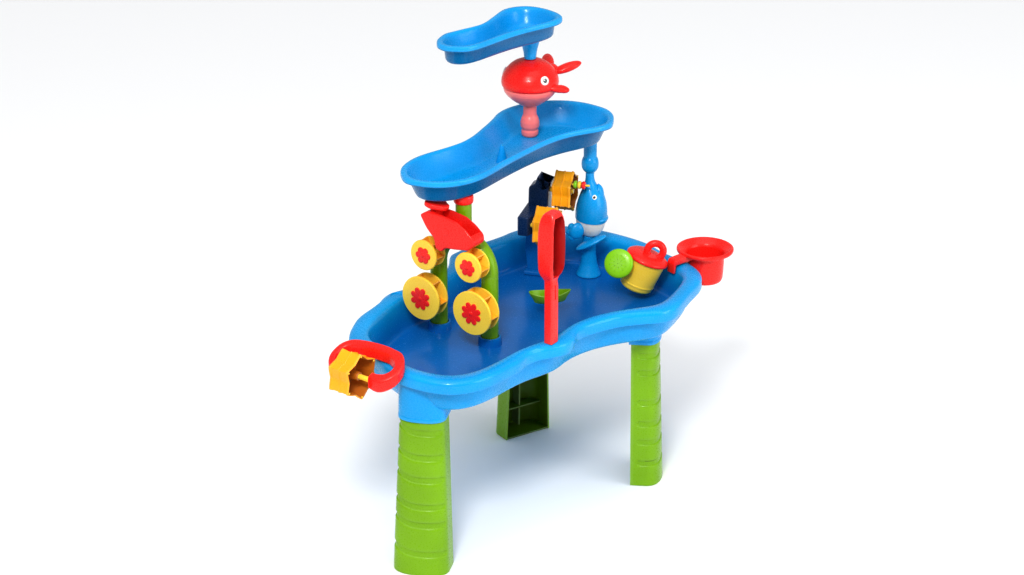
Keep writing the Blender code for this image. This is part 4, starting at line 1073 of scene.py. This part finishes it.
FACING3 = (*FACING, 0)
for label, spot, long, back in (("upper", UPPER_STAR, 35.0, -37.0), ("lower", LOWER_STAR, 40.0, -34.0)):
    here = star_frame(TOWER_HERE @ Vector(tower(*spot)), FACING3)
    star_wheel(label + "_star_drum", label + "_star_wheel", "star_" + label, here, *STAR_SIZE, long)
    axle = soft_turned([(0, long / 2 - 1), (AXLE, long / 2 - 1), (AXLE, back), (0, back)], 0.6, 36)
    still(label + "_star_axle", axle, "yellow", [label + "_star_pin"], here)

BEAD_HERE = star_frame(TOWER_HERE @ Vector(tower(-12, -31, 496)), FACING3)
for i, look in enumerate(("leaf", "yellow", "red")):
    low = -11 + i * 7.5
    piece(f"bead_ring_{i + 1}", turned([
        (4.2, low + 7.2), (6.2, low + 6.4), (7.2, low + 4.8), (7.5, low + 3.6), (7.2, low + 2.4),
        (6.2, low + 0.8),
        (4.2, low), (2.5, low), (2.5, low + 7.2)], 48), "table", look, ("green", "yellow", "red")[i],
        [f"bead_{i + 1}"], BEAD_HERE)
still("bead_bar", soft_turned([(0, 19), (2, 19), (2, -14), (0, -14)], 0.6, 28), "yellow",
      ["bead_rail"], BEAD_HERE)


# ---- outlet wheel on the rim ----

OUTLET_HERE = star_frame(OUTLET_CENTRE, (*OUTLET_AXIS, 0))
star_wheel("outlet_star_drum", "outlet_star_wheel", "star_outlet", OUTLET_HERE, *OUTLET_STAR)


def outlet(t, q, z):
    n = Vector((OUTLET_AXIS[1], -OUTLET_AXIS[0]))
    spot = Vector(OUTLET_CENTRE[:2]) + Vector(OUTLET_AXIS) * t + n * q
    return (spot.x, spot.y, z)


YOKE_RISE = 0.46
YOKE_PATH = [
    (-30, 0), (-39, 0), (-48, -5), (-53, -17), (-50, -34), (-38, -45), (-18, -50), (0, -52),
    (20, -53), (42, -52), (62, -46), (74, -33), (75, -16), (66, -3), (54, 1), (40, 0),
]


def ribbon(path, width):
    """The outline of a band along a plan path; it thickens towards the claw on the near end."""
    left = []
    right = []
    for i, here in enumerate(path):
        along = (path[min(i + 1, len(path) - 1)] - path[max(i - 1, 0)]).normalized()
        claw = min(1.0, max(0.0, (here.x - 44) / 14))
        across = Vector((-along.y, along.x)) * (width / 2 + 2.0 * claw)
        left.append(here + across)
        right.append(here - across)
    return left + right[::-1]


yoke_path = smooth_path(YOKE_PATH, 6)
yoke_rings = []
YOKE_LEVELS = [
    (5.5, 346), (9, 346.5), (11.5, 348), (12.5, 350.6), (12.5, 363.4), (11.5, 366), (9, 367.5), (5.5, 368),
]
for width, height in YOKE_LEVELS:
    yoke_rings.append([outlet(t, q, height - YOKE_RISE * q) for t, q in ribbon(yoke_path, width)])
claw = still("outlet_claw", loft(yoke_rings), "red", ["outlet_yoke"])
rim_block = loft([at_height(inset(RIM, -0.6), z) for z in (300, 368.3)])
resharpen(carve(claw, (rim_block, Matrix.Identity(4))), 40)
still("outlet_axle", soft_turned([(0, 40.6), (AXLE, 40.6), (AXLE, -30.6), (0, -30.6)], 0.6, 36),
      "yellow", ["outlet_pin"], OUTLET_HERE)


# ---- loose pieces ----

CUP_HERE = frame_at((*CUP_SPOT, 0))
CUP_POINTS = [
    (0, 325.2), (26.6, 325.2), (30, 327.6), (32, 341), (33, 373.4), (35, 377.8), (40, 381.6), (45, 384.4),
    (47.6, 386), (49.6, 386), (51.6, 385), (52, 383.2), (52, 381), (51, 379.4), (46, 378.2), (40, 376.8),
    (37, 374.6), (35.5, 371), (34.5, 340), (33.4, 328), (31.6, 323.4), (29, 322), (0, 322),
]
cup_shape = turned(fillet(CUP_POINTS, 1.0, 3, False), 96)
piece("cup_bowl", cup_shape, "cup_piece", "red", "red", ["cup"], CUP_HERE)
TONGUE = [(-81.5, 376), (-81.5, 356), (-77.4, 356), (-75.6, 371), (-30, 371), (-30, 384), (-77.6, 382)]
tongue = slab(fillet([(x, -z) for x, z in TONGUE], [3, 1.5, 1.5, 2, 0, 0, 3], 4), -5, 13, 1.4, 4)
hook = piece("cup_hook", tongue, "cup_piece", "red", "red", (), CUP_HERE @ spin("X", -90))
cup_hollow = turned([
    (0, 392), (47.4, 392), (47.4, 385.8), (39.4, 381), (33, 374), (32.4, 341), (0, 341)], 72)
resharpen(carve(hook, (cup_hollow, CUP_HERE)))

CAN_AXIS = (VIEW_RIGHT[0] * math.sin(CAN_LEAN), VIEW_RIGHT[1] * math.sin(CAN_LEAN), math.cos(CAN_LEAN))
CAN_HERE = frame_at(CAN_SPOT, CAN_AXIS, VIEW_RIGHT)
can_points = [
    (0, -28), (25, -28), (28.3, -21), (31.4, 10), (32.2, 26.6), (35, 26.8), (34.6, 20), (33.6, 10),
    (31.2, -17),
    (31.8, -18.4), (31.6, -20.6), (30.8, -21.6), (30, -27.6), (27, -31), (0, -31),
]
piece("can_body", turned(fillet(can_points, 1.0, 3, False), 96), "can_piece", "yellow", "yellow",
      ["watering_can"], CAN_HERE)
lid = soft_turned([
    (0, 39.8), (20, 39.2), (29, 37.6), (34.6, 35.2), (38.2, 32.4), (39, 30), (39, 27.4),
    (0, 27.4)], 1.4, 96)
piece("can_lid", lid, "can_piece", "red", "red", ["watering_can_lid"], CAN_HERE)
loop_path = []
for i in range(72):
    a = TURN * i / 72
    loop_path.append((8.5 + 14.5 * math.cos(a), 0, 47 + 14.5 * math.sin(a)))
piece("can_loop", sweep(loop_path, [(6.4 * math.cos(TURN * k / 28), 6.4 * math.sin(TURN * k / 28))
                                    for k in range(28)], True, (0, 1, 0)),
      "can_piece", "red", "red", (), CAN_HERE)
ROSE_HERE = frame_at(ROSE_SPOT, ROSE_FACING, UP)
rose = piece("can_rose", soft_turned([
    (0, 5.2), (15, 4.9), (21, 4.0), (25, 2.4), (26.6, 0), (26.6, -3), (24, -5.5), (0, -5.5)], 1.2, 96),
             "can_piece", "leaf", "green", ["watering_can_rose"], ROSE_HERE)
pits = []
for count, radius in ((1, 0.0), (6, 7.5), (12, 15.0)):
    for i in range(count):
        x, y = polar(360 * i / count + 12, radius)
        pits.append((turned([(0, 9), (0.9, 9), (0.9, 3.4), (0, 3.4)], 12), ROSE_HERE @ move(x, y, 0)))
neck_shape = [(0, -5.8), (24, -5.8), (25.2, -8), (22, -11.5), (14, -19), (10.5, -26), (9, -48), (0, -48)]
neck = piece("can_neck", soft_turned(neck_shape, 1.4, 96), "can_piece", "yellow", "yellow",
             ["watering_can_neck"], ROSE_HERE)
clear_can = turned([
    (0, 27.3), (35.3, 27.3), (33.8, 10), (31.3, -20), (30.3, -28), (27.2, -31.3), (0, -31.3)], 72)
clear_lid = turned([(0, 41), (20.2, 40), (34.3, 36.3), (39.3, 31.2), (39.3, 27), (0, 27)], 72)
carve(rose, (merged(*pits), Matrix.Identity(4)))
resharpen(rose)
carve(neck, (clear_can, CAN_HERE), (clear_lid, CAN_HERE))
resharpen(neck)


def rounded_box(x0, x1, half_y, z, corner):
    return at_height(fillet([(x0, -half_y), (x1, -half_y), (x1, half_y), (x0, half_y)], corner, 5), z)


SHOVEL_LEVELS = [
    (353, -6, 6, 6, 1.5), (368.3, -6, 6, 6, 1.5), (368.6, -8, 8, 10.5, 3), (470, -8, 8, 10.5, 3),
    (482, -9, 7, 10, 3.5), (488, -11, 8.6, 13.4, 4), (493, -13.4, 11.4, 17, 5), (499, -15.2, 13.6, 19, 6),
    (506, -16.2, 15, 20.1, 6.5), (525, -16.8, 15.8, 20.5, 6.5), (550, -17, 16, 20.5, 6.5),
    (570, -16.4, 15.8, 20, 6.5), (585, -15, 15.2, 19, 6.5), (594, -13.2, 14, 17, 6),
    (600, -10.6, 12.4, 14.4, 5.5),
    (604, -7, 10, 12, 5),
]
shovel_rings = [rounded_box(x0, x1, y, z, c) for z, x0, x1, y, c in SHOVEL_LEVELS]
shovel = piece("shovel_blade", loft(shovel_rings), "shovel_piece", "red", "red", ["shovel"],
               shovel_frame, 38)
SCOOP_LEVELS = [
    (489, 4, 40, 6, 3), (493, -3, 40, 10.5, 5), (500, -10, 40, 15, 6), (512, -13, 40, 17.2, 6.5),
    (550, -14, 40, 17.6, 6.5), (575, -13, 40, 16.9, 6.5), (588, -10.4, 40, 14.6, 6),
    (597, -5, 40, 10.6, 4.5),
]
scoop = loft([rounded_box(x0, x1, y, z, c) for z, x0, x1, y, c in SCOOP_LEVELS])
slit = slab([(5.5, -1.3), (12, -1.3), (12, 1.3), (5.5, 1.3)], 448, 474, 0.2)
carve(shovel, (scoop, shovel_frame), (slit, shovel_frame))
# Painted shade: the faces inside the scoop take the darker red.
shovel.data.materials.append(LOOKS["painted_shade_red"])
to_local = shovel_frame.inverted()
for face in shovel.data.polygons:
    spot = to_local @ (face.center / MM - SHIFT)
    for (z0, x0, _, y0, _), (z1, x1, _, y1, _) in zip(SCOOP_LEVELS, SCOOP_LEVELS[1:]):
        if z0 <= spot.z <= z1:
            share = (spot.z - z0) / (z1 - z0)
            within = abs(spot.y) < y0 + (y1 - y0) * share + 0.2 and spot.x > x0 + (x1 - x0) * share - 0.2
            face.material_index = 1 if within else 0
resharpen(shovel, 38)

BOAT_HERE = frame_at(BOAT_SPOT, UP, (0.87, -0.50, 0))


def hull(length, width, z, count=72):
    ring = []
    for i in range(count):
        a = TURN * i / count
        c = math.cos(a)
        taper = 1 - 0.55 * max(c, 0) ** 2
        ring.append((length / 2 * c, width / 2 * math.sin(a) * taper, z + 5 * c * c * (z > 3)))
    return ring


BOAT_LEVELS = [
    (40, 8, 0), (47, 14.6, 0.4), (56, 21, 2.6), (63, 26.4, 5.4), (71, 31, 11), (75.4, 33.6, 16),
    (76, 34, 17.4),
    (75, 33, 18.2), (73, 30.4, 18.2), (72, 29, 17), (68, 27, 12), (60, 23, 6.6), (50, 16, 4), (40, 10, 3),
]
piece("toy_boat", loft([hull(*level) for level in BOAT_LEVELS]), "boat_piece", "green", "green", ["boat"],
      BOAT_HERE)


# ---- floor, light and camera ----

def plain_material(name, colour, rough):
    made = bpy.data.materials.new(name)
    made.use_nodes = True
    shader = made.node_tree.nodes["Principled BSDF"]
    shader.inputs["Base Color"].default_value = (*colour, 1.0)
    shader.inputs["Roughness"].default_value = rough
    return made


floor_mesh = bpy.data.meshes.new("studio_floor")
floor_mesh.from_pydata([(-30, -30, 0), (30, -30, 0), (30, 30, 0), (-30, 30, 0)], [], [(0, 1, 2, 3)])
floor_mesh.materials.append(plain_material("studio_floor_white", (0.93, 0.93, 0.935), 0.8))
floor = placed("studio_floor", floor_mesh)
floor.location.z = -0.0005


def area_light(name, spot, aim, size, power, colour=(1, 1, 1)):
    data = bpy.data.lights.new(name, "AREA")
    data.shape = "DISK"
    data.size = size
    data.energy = power
    data.color = colour
    light = placed(name, data)
    light.location = spot
    light.rotation_euler = (Vector(aim) - Vector(spot)).to_track_quat("-Z", "Y").to_euler()


AIM = (0.02, 0.03, 0.35)
area_light("key", (-2.1, -1.9, 3.0), AIM, 0.9, 90, (1.0, 0.985, 0.96))
area_light("fill", (1.6, -3.2, 1.4), AIM, 2.4, 48, (0.96, 0.98, 1.0))
sun_data = bpy.data.lights.new("ceiling", "SUN")
sun_data.energy = 1.25
sun_data.angle = math.radians(70)
sun = placed("ceiling", sun_data)
sun.rotation_euler = (math.radians(12), math.radians(-14), 0)

world = bpy.data.worlds.new("studio_world")
bpy.context.scene.world = world
world.use_nodes = True
sky = world.node_tree.nodes["Background"]
sky.inputs["Color"].default_value = (0.97, 0.985, 1.0, 1.0)
sky.inputs["Strength"].default_value = 0.55

camera_data = bpy.data.cameras.new("camera")
camera_data.lens = LENS
camera_data.sensor_width = SENSOR
camera_data.clip_end = 100.0
camera = placed("camera", camera_data)
camera.location = CAMERA_SPOT
camera.rotation_euler = (Vector(LOOK_AT) - camera.location).to_track_quat("-Z", "Y").to_euler()
bpy.context.scene.camera = camera
bpy.context.scene.view_settings.view_transform = "Standard"
bpy.context.scene.view_settings.gamma = 0.84

bpy.context.view_layer.update()
